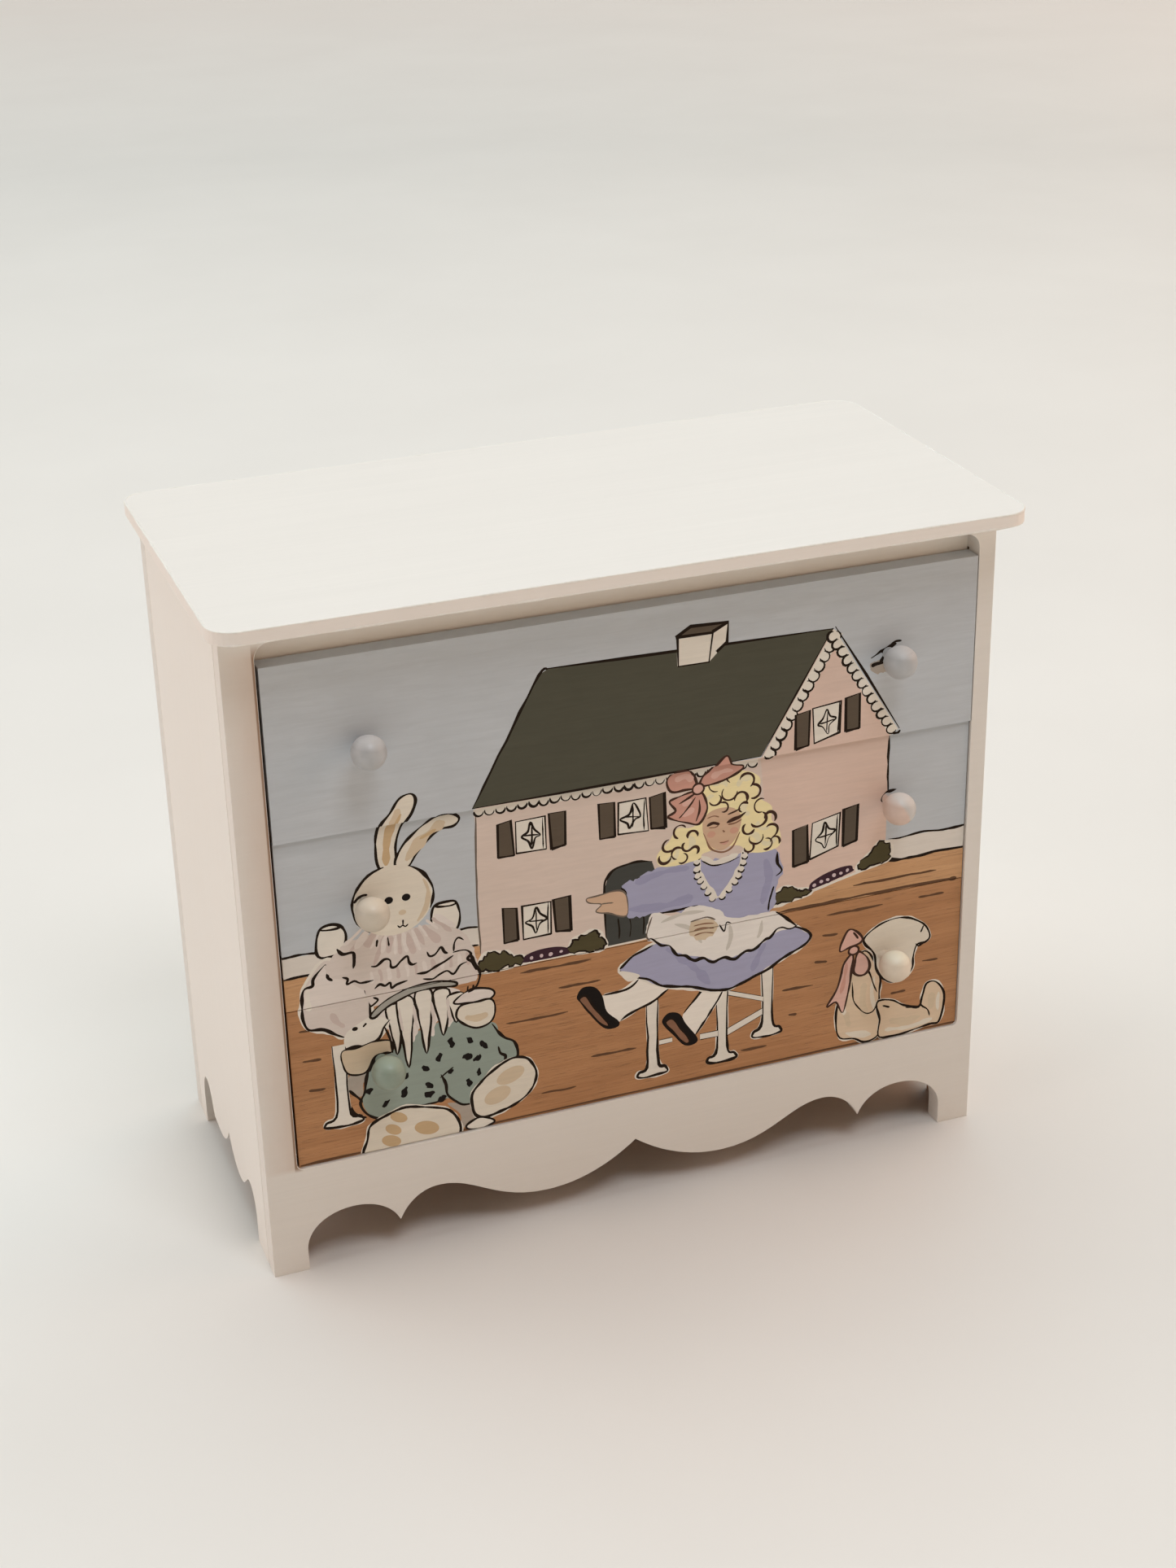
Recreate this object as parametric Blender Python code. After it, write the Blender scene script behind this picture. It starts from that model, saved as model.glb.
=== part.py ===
"""Miniature chest of three drawers for a dolls' house, at its real size.

The origin is on the floor, under the middle of the top board.
+X is to the right, +Y to the back and +Z up: the drawers slide out along -Y.
"""

import math

import bmesh
import bpy
from mathutils import Matrix, Vector
from mathutils.geometry import interpolate_bezier

MM = 0.001

# Driving dimensions
TOP_WIDTH = 88.9 * MM
TOP_THICKNESS = 1.5 * MM
TOP_CORNER_RADIUS = 3.0 * MM
TOP_EDGE_ROUND = 0.35 * MM
SIDE_OVERHANG = 1.6 * MM
FRONT_OVERHANG = 5.15 * MM
BACK_OVERHANG = 1.1 * MM
BODY_DEPTH = 39.25 * MM
BODY_HEIGHT = 76.85 * MM

GAP = 0.3 * MM                 # between pieces that are glued or that run past each other
FRAME_THICKNESS = 2.4 * MM     # sheet of the face frame and the back
BOARD_THICKNESS = 1.6 * MM     # sheet of the sides, shelves and drawer boxes

# The opening of the face frame is off-centre, so its two stiles differ.
STILE_LEFT = 3.55 * MM
STILE_RIGHT = 1.95 * MM
OPENING_BOTTOM = 13.2 * MM
OPENING_TOP = 74.8 * MM
OPENING_TOP_RADIUS = 1.8 * MM
OPENING_BOTTOM_RADIUS = 0.7 * MM

# Drawer fronts, from the bottom one up
SEAM_LOWER = 32.7 * MM
SEAM_UPPER = 52.55 * MM
FRONTS_TOP = 72.1 * MM
FRONT_THICKNESS = 2.2 * MM
FRONT_RECESS = 0.4 * MM        # of the closed fronts behind the face frame
FRONT_CLEARANCE_LEFT = 0.6 * MM
TOP_DRAWER_PROUD = 0.35 * MM   # the top drawer is not pushed in quite as far

DRAWER_BOX_LENGTH = 32.1 * MM
DRAWER_HEADROOM = 0.95 * MM    # above a drawer's sides
DRAWER_PANEL = 0.8 * MM        # thickness of a drawer's bottom
GROOVE_DEPTH = 0.9 * MM
GROOVE_RISE = 1.0 * MM         # from the lower edge of a drawer's side to its groove
RAIL_BOTTOM = 71.5 * MM
SHELF_SETBACK = 0.5 * MM       # of the shelves behind the face frame

KNOB_RADIUS = 1.85 * MM
KNOB_CENTRE = 3.0 * MM         # from the front's face to the middle of the ball
KNOB_NECK = 0.8 * MM
KNOB_PEG = 0.7 * MM
KNOB_PEG_LENGTH = 1.2 * MM
KNOB_HOLE_DEPTH = 1.6 * MM
# X and height of each drawer's two knobs, which were set by eye and are not quite in line
KNOB_PLACES = {
    "bottom": ((-29.1 * MM, 24.7 * MM), (31.05 * MM, 24.65 * MM)),
    "middle": ((-29.75 * MM, 44.05 * MM), (30.9 * MM, 44.7 * MM)),
    "top": ((-29.1 * MM, 62.5 * MM), (30.25 * MM, 62.5 * MM)),
}

# Derived planes
BODY_WIDTH = TOP_WIDTH - 2 * SIDE_OVERHANG
BODY_X = BODY_WIDTH / 2
TOP_DEPTH = FRONT_OVERHANG + BODY_DEPTH + BACK_OVERHANG
FRONT_Y = -TOP_DEPTH / 2 + FRONT_OVERHANG
BACK_Y = FRONT_Y + BODY_DEPTH
FRAME_BACK_Y = FRONT_Y + FRAME_THICKNESS
BACK_PANEL_Y = BACK_Y - FRAME_THICKNESS
CARCASS_TOP = BODY_HEIGHT - GAP
INNER_X = BODY_X - BOARD_THICKNESS
OPENING_X = (-BODY_X + STILE_LEFT, BODY_X - STILE_RIGHT)
FRONT_X = (OPENING_X[0] + FRONT_CLEARANCE_LEFT, OPENING_X[1] - GAP)
BOX_X = (FRONT_X[0] + GAP, FRONT_X[1] - GAP)

CURVE_STEPS = 12               # points along one bend of a scalloped edge
ROUND_STEPS = 8                # and along one rounded corner
KNOB_SEGMENTS = 20
KNOB_STEPS = 9


def clear_scene():
    for obj in list(bpy.data.objects):
        bpy.data.objects.remove(obj, do_unlink=True)


def make_material(name, colour, roughness):
    made = bpy.data.materials.new(name)
    made.use_nodes = True
    shader = made.node_tree.nodes["Principled BSDF"]
    shader.inputs["Base Color"].default_value = (*colour, 1.0)
    shader.inputs["Roughness"].default_value = roughness
    shader.inputs["Metallic"].default_value = 0.0
    return made


def make_object(name, bm, material, place=Vector(), parent=None):
    """Link a new object whose mesh is given around its own origin."""
    bmesh.ops.recalc_face_normals(bm, faces=bm.faces)
    mesh = bpy.data.meshes.new(name)
    bm.to_mesh(mesh)
    bm.free()
    mesh.materials.append(material)
    obj = bpy.data.objects.new(name, mesh)
    obj.location = place
    obj.parent = parent
    bpy.context.collection.objects.link(obj)
    return obj


def make_empty(name, place):
    empty = bpy.data.objects.new(name, None)
    empty.location = place
    bpy.context.collection.objects.link(empty)
    return empty


def box_mesh(low, high):
    """A box between two corners."""
    bm = bmesh.new()
    bmesh.ops.create_cube(bm, size=1.0)
    size = Vector(high) - Vector(low)
    bmesh.ops.scale(bm, vec=size, verts=bm.verts)
    bmesh.ops.translate(bm, vec=Vector(low) + size / 2, verts=bm.verts)
    return bm


def make_board(name, low, high, material, parent=None):
    """A plain board between two corners, with its origin at its middle or on its parent."""
    if parent:
        return make_object(name, box_mesh(low, high), material, parent=parent)
    middle = (Vector(low) + Vector(high)) / 2
    return make_object(name, box_mesh(Vector(low) - middle, Vector(high) - middle), material, middle)


def cut_box(target, low, high):
    """Cut a box, given in the target's own frame, out of the target."""
    add_cutter(target, target.name + "_groove_cutter", box_mesh(low, high), Vector())


def add_cutter(target, name, bm, place):
    cutter = make_object(name, bm, target.data.materials[0], place, target)
    cutter.hide_render = True
    cutter.display_type = "WIRE"
    cut = target.modifiers.new(name, "BOOLEAN")
    cut.operation = "DIFFERENCE"
    cut.solver = "EXACT"
    cut.object = cutter


def curve_between(start, start_handle, end_handle, end):
    """Points of one smooth bend, without its last point."""
    bend = [Vector(p).to_3d() for p in (start, start_handle, end_handle, end)]
    return [p.to_2d() for p in interpolate_bezier(*bend, CURVE_STEPS + 1)[:-1]]


def rounded_rectangle(x_low, x_high, y_low, y_high, radius_low, radius_high):
    """A rectangle's outline with one radius at its two lower and one at its two upper corners."""
    corners = (
        (x_high - radius_low, y_low + radius_low, radius_low, -90),
        (x_high - radius_high, y_high - radius_high, radius_high, 0),
        (x_low + radius_high, y_high - radius_high, radius_high, 90),
        (x_low + radius_low, y_low + radius_low, radius_low, 180),
    )
    points = []
    for x, y, radius, first in corners:
        for step in range(ROUND_STEPS + 1):
            angle = math.radians(first + 90 * step / ROUND_STEPS)
            points.append(Vector((x + radius * math.cos(angle), y + radius * math.sin(angle))))
    return points


def sheet_mesh(outlines, thickness):
    """A sheet cut to closed outlines in X and Y, its holes among them, raised along +Z."""
    bm = bmesh.new()
    for outline in outlines:
        verts = [bm.verts.new((p[0], p[1], 0.0)) for p in outline]
        for first, second in zip(verts, verts[1:] + verts[:1]):
            bm.edges.new((first, second))
    bmesh.ops.triangle_fill(bm, use_beauty=True, use_dissolve=False, edges=bm.edges[:])
    walls = bmesh.ops.extrude_face_region(bm, geom=bm.faces[:])
    raised = [item for item in walls["geom"] if isinstance(item, bmesh.types.BMVert)]
    bmesh.ops.translate(bm, vec=(0.0, 0.0, thickness), verts=raised)
    return bm


def apron_half():
    """The scalloped lower edge from a foot to the middle, in X from the middle and Z."""
    foot = (-38.85 * MM, 2.7 * MM)
    arch_top = (-33.4 * MM, 7.0 * MM)
    cusp = (-28.15 * MM, 3.8 * MM)
    peak = (-23.4 * MM, 7.25 * MM)
    lobe = (-10.8 * MM, 3.3 * MM)
    notch = (0.0, 7.4 * MM)
    points = [Vector((foot[0], 0.0))]
    points += curve_between(foot, (foot[0], 5.0 * MM), (-36.6 * MM, arch_top[1]), arch_top)
    points += curve_between(arch_top, (-30.8 * MM, arch_top[1]), (-28.9 * MM, 5.7 * MM), cusp)
    points += curve_between(cusp, (-27.5 * MM, 5.3 * MM), (-26.0 * MM, peak[1]), peak)
    points += curve_between(peak, (-19.4 * MM, peak[1]), (-17.0 * MM, lobe[1]), lobe)
    points += curve_between(lobe, (-6.6 * MM, lobe[1]), (-3.0 * MM, 5.0 * MM), notch)
    return points + [Vector(notch)]


def apron_sheet_outline():
    """The outer outline that the face frame and the back share, in X and Z."""
    half = apron_half()
    other_half = [Vector((-p.x, p.y)) for p in reversed(half[:-1])]
    ends = [
        Vector((BODY_X, 0.0)),
        Vector((BODY_X, CARCASS_TOP)),
        Vector((-BODY_X, CARCASS_TOP)),
        Vector((-BODY_X, 0.0)),
    ]
    return half + other_half + ends


def side_outline():
    """A side panel in Y from the face of the body and Z: two feet, an arch by each, a middle notch."""
    front_foot = (7.4 * MM, 2.9 * MM)
    front_arch = (9.9 * MM, 6.4 * MM)
    front_lobe = (15.2 * MM, 3.65 * MM)
    notch = (20.1 * MM, 6.8 * MM)
    rear_lobe = (25.2 * MM, 3.75 * MM)
    rear_cusp = (28.4 * MM, 3.95 * MM)
    rear_arch = (31.5 * MM, 7.4 * MM)
    rear_foot = (33.9 * MM, 3.4 * MM)
    front_edge = FRAME_THICKNESS + GAP
    back_edge = BODY_DEPTH - FRAME_THICKNESS - GAP
    points = [Vector((front_edge, 0.0)), Vector((front_foot[0], 0.0))]
    points += curve_between(front_foot, (7.4 * MM, 4.9 * MM), (8.4 * MM, 6.4 * MM), front_arch)
    points += curve_between(front_arch, (11.6 * MM, 6.4 * MM), (12.4 * MM, 3.65 * MM), front_lobe)
    points += curve_between(front_lobe, (17.4 * MM, 3.65 * MM), (18.9 * MM, 5.0 * MM), notch)
    points += curve_between(notch, (21.3 * MM, 5.0 * MM), (22.8 * MM, 3.75 * MM), rear_lobe)
    points += [Vector(rear_lobe)]
    points += curve_between(rear_cusp, (29.3 * MM, 5.6 * MM), (29.9 * MM, 7.4 * MM), rear_arch)
    points += curve_between(rear_arch, (33.1 * MM, 7.4 * MM), (33.9 * MM, 5.6 * MM), rear_foot)
    points += [
        Vector(rear_foot),
        Vector((rear_foot[0], 0.0)),
        Vector((back_edge, 0.0)),
        Vector((back_edge, CARCASS_TOP)),
        Vector((front_edge, CARCASS_TOP)),
    ]
    return points


def make_top_board(paint):
    outline = rounded_rectangle(
        -TOP_WIDTH / 2, TOP_WIDTH / 2, -TOP_DEPTH / 2, TOP_DEPTH / 2, TOP_CORNER_RADIUS, TOP_CORNER_RADIUS
    )
    board = make_object(
        "top_board", sheet_mesh([outline], TOP_THICKNESS), paint, Vector((0.0, 0.0, BODY_HEIGHT))
    )
    edge = board.modifiers.new("rounded_edge", "BEVEL")
    edge.width = TOP_EDGE_ROUND
    edge.segments = 2
    edge.limit_method = "ANGLE"
    edge.angle_limit = math.radians(60)


def stand_up(bm):
    """Turn a flat sheet so that its Y points up and its thickness runs to the back."""
    bmesh.ops.rotate(bm, matrix=Matrix.Rotation(math.radians(90), 3, "X"), verts=bm.verts)
    bmesh.ops.scale(bm, vec=(1.0, -1.0, 1.0), verts=bm.verts)
    return bm


def make_face_frame(paint):
    opening = rounded_rectangle(
        *OPENING_X, OPENING_BOTTOM, OPENING_TOP, OPENING_BOTTOM_RADIUS, OPENING_TOP_RADIUS
    )
    sheet = stand_up(sheet_mesh([apron_sheet_outline(), opening], FRAME_THICKNESS))
    make_object("face_frame", sheet, paint, Vector((0.0, FRONT_Y, 0.0)))


def make_back_panel(paint):
    sheet = stand_up(sheet_mesh([apron_sheet_outline()], FRAME_THICKNESS))
    make_object("back_panel", sheet, paint, Vector((0.0, BACK_PANEL_Y, 0.0)))


def make_side_panels(paint):
    for name, x in (("side_panel_left", -BODY_X), ("side_panel_right", INNER_X)):
        sheet = stand_up(sheet_mesh([side_outline()], BOARD_THICKNESS))
        quarter_turn = Matrix.Rotation(math.radians(90), 3, "Z")
        bmesh.ops.rotate(sheet, matrix=quarter_turn, verts=sheet.verts)
        bmesh.ops.translate(sheet, vec=(BOARD_THICKNESS, 0.0, 0.0), verts=sheet.verts)
        make_object(name, sheet, paint, Vector((x, FRONT_Y, 0.0)))


def make_inner_boards(wood, paint):
    x = INNER_X - GAP
    back = BACK_PANEL_Y - GAP
    shelf_front = FRAME_BACK_Y + SHELF_SETBACK
    half = BOARD_THICKNESS / 2
    shelves = (
        ("bottom_panel", OPENING_BOTTOM - half),
        ("dust_board_lower", SEAM_LOWER),
        ("dust_board_upper", SEAM_UPPER),
    )
    for name, middle in shelves:
        make_board(name, (-x, shelf_front, middle - half), (x, back, middle + half), wood)
    rail_front = FRAME_BACK_Y + GAP
    rail_back = rail_front + FRAME_THICKNESS
    make_board("top_rail", (-x, rail_front, RAIL_BOTTOM), (x, rail_back, CARCASS_TOP), paint)


def knob_profile():
    """Half outline of a turned knob: radius and distance in front of the drawer's face."""
    neck_angle = math.asin(KNOB_NECK / KNOB_RADIUS)
    points = [(0.0, -KNOB_PEG_LENGTH), (KNOB_PEG, -KNOB_PEG_LENGTH), (KNOB_PEG, GAP), (KNOB_NECK, GAP)]
    for step in range(KNOB_STEPS):
        angle = neck_angle + (math.pi - neck_angle) * step / KNOB_STEPS
        radius = KNOB_RADIUS * math.sin(angle)
        points.append((radius, KNOB_CENTRE - KNOB_RADIUS * math.cos(angle)))
    return points + [(0.0, KNOB_CENTRE + KNOB_RADIUS)]


def make_knob(name, face, x, z, paint, drawer):
    """A knob turned about its peg, whose axis runs along Y through the hole in the front."""
    bm = bmesh.new()
    verts = [bm.verts.new((radius, -out, 0.0)) for radius, out in knob_profile()]
    profile = [bm.edges.new(pair) for pair in zip(verts, verts[1:])]
    bmesh.ops.spin(
        bm, geom=verts + profile, cent=(0.0, 0.0, 0.0), axis=(0.0, 1.0, 0.0),
        angle=2 * math.pi, steps=KNOB_SEGMENTS, use_merge=True,
    )
    bmesh.ops.remove_doubles(bm, verts=bm.verts, dist=0.001 * MM)
    knob = make_object(name, bm, paint, Vector((x, face, z)), drawer)
    knob.data.shade_smooth()
    knob.data.set_sharp_from_angle(angle=math.radians(40))


def drill(front, x, z, face):
    """The blind hole for a knob's peg."""
    bm = bmesh.new()
    along_y = Matrix.Rotation(math.radians(90), 4, "X")
    bmesh.ops.create_cone(
        bm, cap_ends=True, segments=KNOB_SEGMENTS, radius1=KNOB_PEG + GAP, radius2=KNOB_PEG + GAP,
        depth=2 * KNOB_HOLE_DEPTH, matrix=along_y,
    )
    side = "left" if x < 0 else "right"
    add_cutter(front, f"{front.name}_hole_{side}", bm, Vector((x, face, z)))


def make_drawer(level, shelf_top, shelf_above, front_z, proud, front_paint, knob_paints, wood):
    """One drawer, whose parent empty stands on its shelf and slides along Y."""
    name = f"drawer_{level}"
    drawer = make_empty(name + "_slide", Vector((0.0, FRONT_Y + FRONT_RECESS - proud, shelf_top)))
    base = GAP
    top = shelf_above - DRAWER_HEADROOM - shelf_top
    low_z = front_z[0] - shelf_top
    high_z = front_z[1] - shelf_top
    box_front = FRONT_THICKNESS + GAP
    box_back = box_front + DRAWER_BOX_LENGTH
    inner_x = (BOX_X[0] + BOARD_THICKNESS, BOX_X[1] - BOARD_THICKNESS)
    groove_low = base + GROOVE_RISE
    groove_high = groove_low + DRAWER_PANEL + 2 * GAP
    reach = GROOVE_DEPTH - GAP

    front = make_board(
        name + "_front", (FRONT_X[0], 0.0, low_z), (FRONT_X[1], FRONT_THICKNESS, high_z), front_paint, drawer
    )
    cut_box(
        front,
        (inner_x[0] - GROOVE_DEPTH, FRONT_THICKNESS - GROOVE_DEPTH, groove_low),
        (inner_x[1] + GROOVE_DEPTH, FRONT_THICKNESS + GAP, groove_high),
    )
    for side, (x, z), paint in zip(("left", "right"), KNOB_PLACES[level], knob_paints):
        drill(front, x, z - shelf_top, 0.0)
        make_knob(f"{name}_knob_{side}", 0.0, x, z - shelf_top, paint, drawer)

    sides = (
        ("left", BOX_X[0], inner_x[0], inner_x[0] - GROOVE_DEPTH, inner_x[0] + GAP),
        ("right", inner_x[1], BOX_X[1], inner_x[1] - GAP, inner_x[1] + GROOVE_DEPTH),
    )
    for side, x_low, x_high, groove_x_low, groove_x_high in sides:
        board = make_board(
            f"{name}_side_{side}", (x_low, box_front, base), (x_high, box_back, top), wood, drawer
        )
        cut_box(board, (groove_x_low, box_front - GAP, groove_low), (groove_x_high, box_back + GAP, groove_high))

    panel_low = groove_low + GAP
    panel_high = panel_low + DRAWER_PANEL
    make_board(
        name + "_bottom",
        (inner_x[0] - reach, FRONT_THICKNESS - reach, panel_low),
        (inner_x[1] + reach, box_back, panel_high),
        wood, drawer,
    )
    make_board(
        name + "_back",
        (inner_x[0] + GAP, box_back - BOARD_THICKNESS, panel_high + GAP),
        (inner_x[1] - GAP, box_back, top),
        wood, drawer,
    )


def make_drawers(wood):
    wall = make_material("wall_paint", (0.58, 0.64, 0.70), 0.55)
    room = make_material("room_paint", (0.78, 0.64, 0.60), 0.55)
    floor = make_material("floor_wood", (0.52, 0.28, 0.14), 0.5)
    pale = make_material("pale_knob_paint", (0.64, 0.70, 0.76), 0.45)
    cream = make_material("cream_knob_paint", (0.80, 0.74, 0.64), 0.45)
    pink = make_material("pink_knob_paint", (0.82, 0.67, 0.64), 0.45)
    green = make_material("green_knob_paint", (0.36, 0.50, 0.44), 0.45)
    half = BOARD_THICKNESS / 2
    seam = GAP / 2
    shelf_tops = (OPENING_BOTTOM, SEAM_LOWER + half, SEAM_UPPER + half)
    ceilings = (SEAM_LOWER - half, SEAM_UPPER - half, RAIL_BOTTOM)
    front_spans = (
        (OPENING_BOTTOM + GAP, SEAM_LOWER - seam),
        (SEAM_LOWER + seam, SEAM_UPPER - seam),
        (SEAM_UPPER + seam, FRONTS_TOP),
    )
    levels = ("bottom", "middle", "top")
    prouds = (0.0, 0.0, TOP_DRAWER_PROUD)
    fronts = (floor, room, wall)
    knobs = ((green, cream), (cream, pink), (pale, pale))
    for row in zip(levels, shelf_tops, ceilings, front_spans, prouds, fronts, knobs):
        make_drawer(*row, wood)


def main():
    clear_scene()
    white = make_material("white_paint", (0.83, 0.81, 0.78), 0.5)
    wood = make_material("bare_wood", (0.50, 0.29, 0.16), 0.65)
    make_top_board(white)
    make_face_frame(white)
    make_side_panels(white)
    make_back_panel(white)
    make_inner_boards(wood, white)
    make_drawers(wood)


main()
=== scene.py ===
"""The looks of a miniature chest: white case, raw wood inside, turned knobs, a picture on the drawers."""

import math

import bmesh
import bpy
import numpy as np
from mathutils import Matrix, Vector, geometry, noise


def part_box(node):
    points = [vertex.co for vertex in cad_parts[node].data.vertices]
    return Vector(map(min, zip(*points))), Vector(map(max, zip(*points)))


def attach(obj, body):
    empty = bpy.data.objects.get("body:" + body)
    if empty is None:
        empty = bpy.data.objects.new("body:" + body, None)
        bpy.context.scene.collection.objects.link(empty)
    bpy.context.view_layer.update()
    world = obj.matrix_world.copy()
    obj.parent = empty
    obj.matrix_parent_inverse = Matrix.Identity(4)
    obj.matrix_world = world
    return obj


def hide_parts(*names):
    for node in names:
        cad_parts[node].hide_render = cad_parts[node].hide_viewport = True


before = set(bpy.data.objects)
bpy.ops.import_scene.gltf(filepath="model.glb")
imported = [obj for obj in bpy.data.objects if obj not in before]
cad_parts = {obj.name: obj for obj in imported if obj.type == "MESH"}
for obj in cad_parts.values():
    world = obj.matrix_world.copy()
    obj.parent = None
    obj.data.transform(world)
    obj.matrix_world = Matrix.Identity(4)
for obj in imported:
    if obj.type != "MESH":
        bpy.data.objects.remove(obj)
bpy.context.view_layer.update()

MM = 0.001
BODY_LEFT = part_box("face_frame")[0].x     # the picture is drawn in millimetres from here and from the floor
OPENING_LEFT = BODY_LEFT + 3.55 * MM      # edges of the opening for the drawers
OPENING_BOTTOM = 13.2 * MM
OPENING_TOP = 74.8 * MM
DRAWERS = ("bottom", "middle", "top")

# Linear colours of the paints and woods.
WHITE = (0.800, 0.765, 0.715)
TOP_WHITE = (0.824, 0.770, 0.718)
# a darker copy of WHITE for the face frame: painted shade on the front of the case
FRAME_WHITE_SHADED = (0.745, 0.705, 0.655)
WHITE_WORN = (0.690, 0.610, 0.510)
THIN_PAINT = (0.620, 0.500, 0.420)
WOOD = (0.512, 0.258, 0.113)
WOOD_DARK = (0.390, 0.181, 0.072)
PALE_WOOD = (0.640, 0.370, 0.185)
PALE_WOOD_DARK = (0.520, 0.282, 0.128)
EDGE_BROWN = (0.300, 0.190, 0.125)
RAW_WOOD = (0.430, 0.212, 0.094)
RAW_WOOD_DARK = (0.300, 0.135, 0.053)
PAINTS = {
    "wall": (0.507, 0.539, 0.571),
    "baseboard": (0.701, 0.653, 0.594),
    "house": (0.680, 0.564, 0.494),
    "gable": (0.699, 0.530, 0.450),
    "roof": (0.088, 0.086, 0.063),
    "shutter": (0.101, 0.076, 0.052),
    "ink": (0.019, 0.012, 0.008),
    "soft_ink": (0.150, 0.115, 0.090),
    "lace": (0.758, 0.712, 0.634),
    "bush": (0.085, 0.072, 0.036),
    "plum": (0.050, 0.024, 0.034),
    "flower": (0.598, 0.482, 0.499),
    "smudge": (0.400, 0.345, 0.290),
    "plank": (0.115, 0.055, 0.025),
    "plush": (0.685, 0.542, 0.392),
    "cream": (0.727, 0.668, 0.568),
    "fur_shade": (0.630, 0.513, 0.369),
    "tan": (0.560, 0.400, 0.230),
    "ruffle": (0.663, 0.590, 0.541),
    "ruffle_shade": (0.580, 0.478, 0.438),
    "ruffle_light": (0.732, 0.666, 0.619),
    "belt": (0.360, 0.350, 0.310),
    "teal": (0.286, 0.341, 0.298),
    "dress": (0.375, 0.378, 0.528),
    "dress_shade": (0.322, 0.324, 0.475),
    "apron": (0.787, 0.750, 0.707),
    "apron_shade": (0.593, 0.559, 0.505),
    "stocking": (0.839, 0.785, 0.710),
    "hair": (0.864, 0.754, 0.432),
    "hair_light": (0.786, 0.714, 0.492),
    "skin": (0.617, 0.422, 0.290),
    "cheek": (0.608, 0.343, 0.248),
    "bow": (0.604, 0.323, 0.255),
    "bow_light": (0.699, 0.435, 0.365),
    "shoe": (0.014, 0.011, 0.010),
    "sole": (0.240, 0.120, 0.070),
    "umber": (0.060, 0.030, 0.021),
    "door": (0.064, 0.066, 0.060),
}


# ---------------------------------------------------------------- materials

class Finish:
    """A node material with a Principled shader. Its coordinates are the object's own, in millimetres."""

    def __init__(self, name, roughness, specular=0.35):
        self.material = bpy.data.materials.new(name)
        self.material.use_nodes = True
        self.tree = self.material.node_tree
        self.shader = self.tree.nodes["Principled BSDF"]
        self.shader.inputs["Roughness"].default_value = roughness
        self.shader.inputs["Specular IOR Level"].default_value = specular
        self.place = self.node("ShaderNodeTexCoord").outputs["Object"]

    def node(self, kind, **settings):
        made = self.tree.nodes.new(kind)
        for key, value in settings.items():
            setattr(made, key, value)
        return made

    def feed(self, node, **inputs):
        """Sets or links a node's inputs by name, with underscores for spaces, and returns the node."""
        for key, value in inputs.items():
            socket = node.inputs[key.replace("_", " ")]
            if isinstance(value, bpy.types.NodeSocket):
                self.tree.links.new(value, socket)
            else:
                socket.default_value = value
        return node

    def noise(self, across, detail=4.0, roughness=0.55, distortion=0.0, shift=0.0):
        """Soft blotches; across is their size in millimetres along X, Y and Z."""
        mapping = self.node("ShaderNodeMapping")
        scale = [1 / (MM * size) for size in across]
        self.feed(mapping, Vector=self.place, Scale=scale, Location=(shift, shift, shift))
        made = self.node("ShaderNodeTexNoise")
        self.feed(made, Vector=mapping.outputs[0], Scale=1.0, Detail=detail)
        self.feed(made, Roughness=roughness, Distortion=distortion)
        return made.outputs["Fac"]

    def span(self, value, low, high, to_low=0.0, to_high=1.0):
        """Stretches a value between low and high over a new range, and clips it."""
        made = self.node("ShaderNodeMapRange")
        self.feed(made, Value=value, From_Min=low, From_Max=high, To_Min=to_low, To_Max=to_high)
        return made.outputs[0]

    def mix(self, share, first, second):
        """Blends two colours, each a triple or a socket."""
        made = self.node("ShaderNodeMix", data_type="RGBA")
        for index, value in ((0, share), (6, first), (7, second)):
            if isinstance(value, bpy.types.NodeSocket):
                self.tree.links.new(value, made.inputs[index])
            elif index:
                made.inputs[index].default_value = (*value, 1.0)
            else:
                made.inputs[index].default_value = value
        return made.outputs[2]

    def math(self, operation, first, second):
        made = self.node("ShaderNodeMath", operation=operation)
        for socket, value in zip(made.inputs, (first, second)):
            if isinstance(value, bpy.types.NodeSocket):
                self.tree.links.new(value, socket)
            else:
                socket.default_value = value
        return made.outputs[0]

    def facing(self, direction, low=0.45, high=0.55):
        """1 where the surface faces the direction, in the object's own axes."""
        made = self.node("ShaderNodeVectorMath", operation="DOT_PRODUCT")
        normal = self.node("ShaderNodeTexCoord").outputs["Normal"]
        self.tree.links.new(normal, made.inputs[0])
        made.inputs[1].default_value = direction
        return self.span(made.outputs["Value"], low, high)

    def position(self):
        """Sockets X, Y and Z of the place on the object."""
        made = self.node("ShaderNodeSeparateXYZ")
        return self.feed(made, Vector=self.place).outputs

    def relief(self, height, depth):
        """Bump, with the depth in millimetres."""
        made = self.node("ShaderNodeBump")
        return self.feed(made, Height=height, Distance=depth * MM, Strength=1.0).outputs[0]

    def finish(self, colour, normal=None, roughness=None):
        """Connects what is given to the shader and returns the material."""
        self.feed(self.shader, Base_Color=colour)
        if normal is not None:
            self.feed(self.shader, Normal=normal)
        if roughness is not None:
            self.feed(self.shader, Roughness=roughness)
        return self.material


def scaled(colour, factor):
    return tuple(min(channel * factor, 1.0) for channel in colour)


def along(axis, length, width):
    """The sizes of a streak that runs along an axis."""
    return [length if index == axis else width for index in range(3)]


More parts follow.
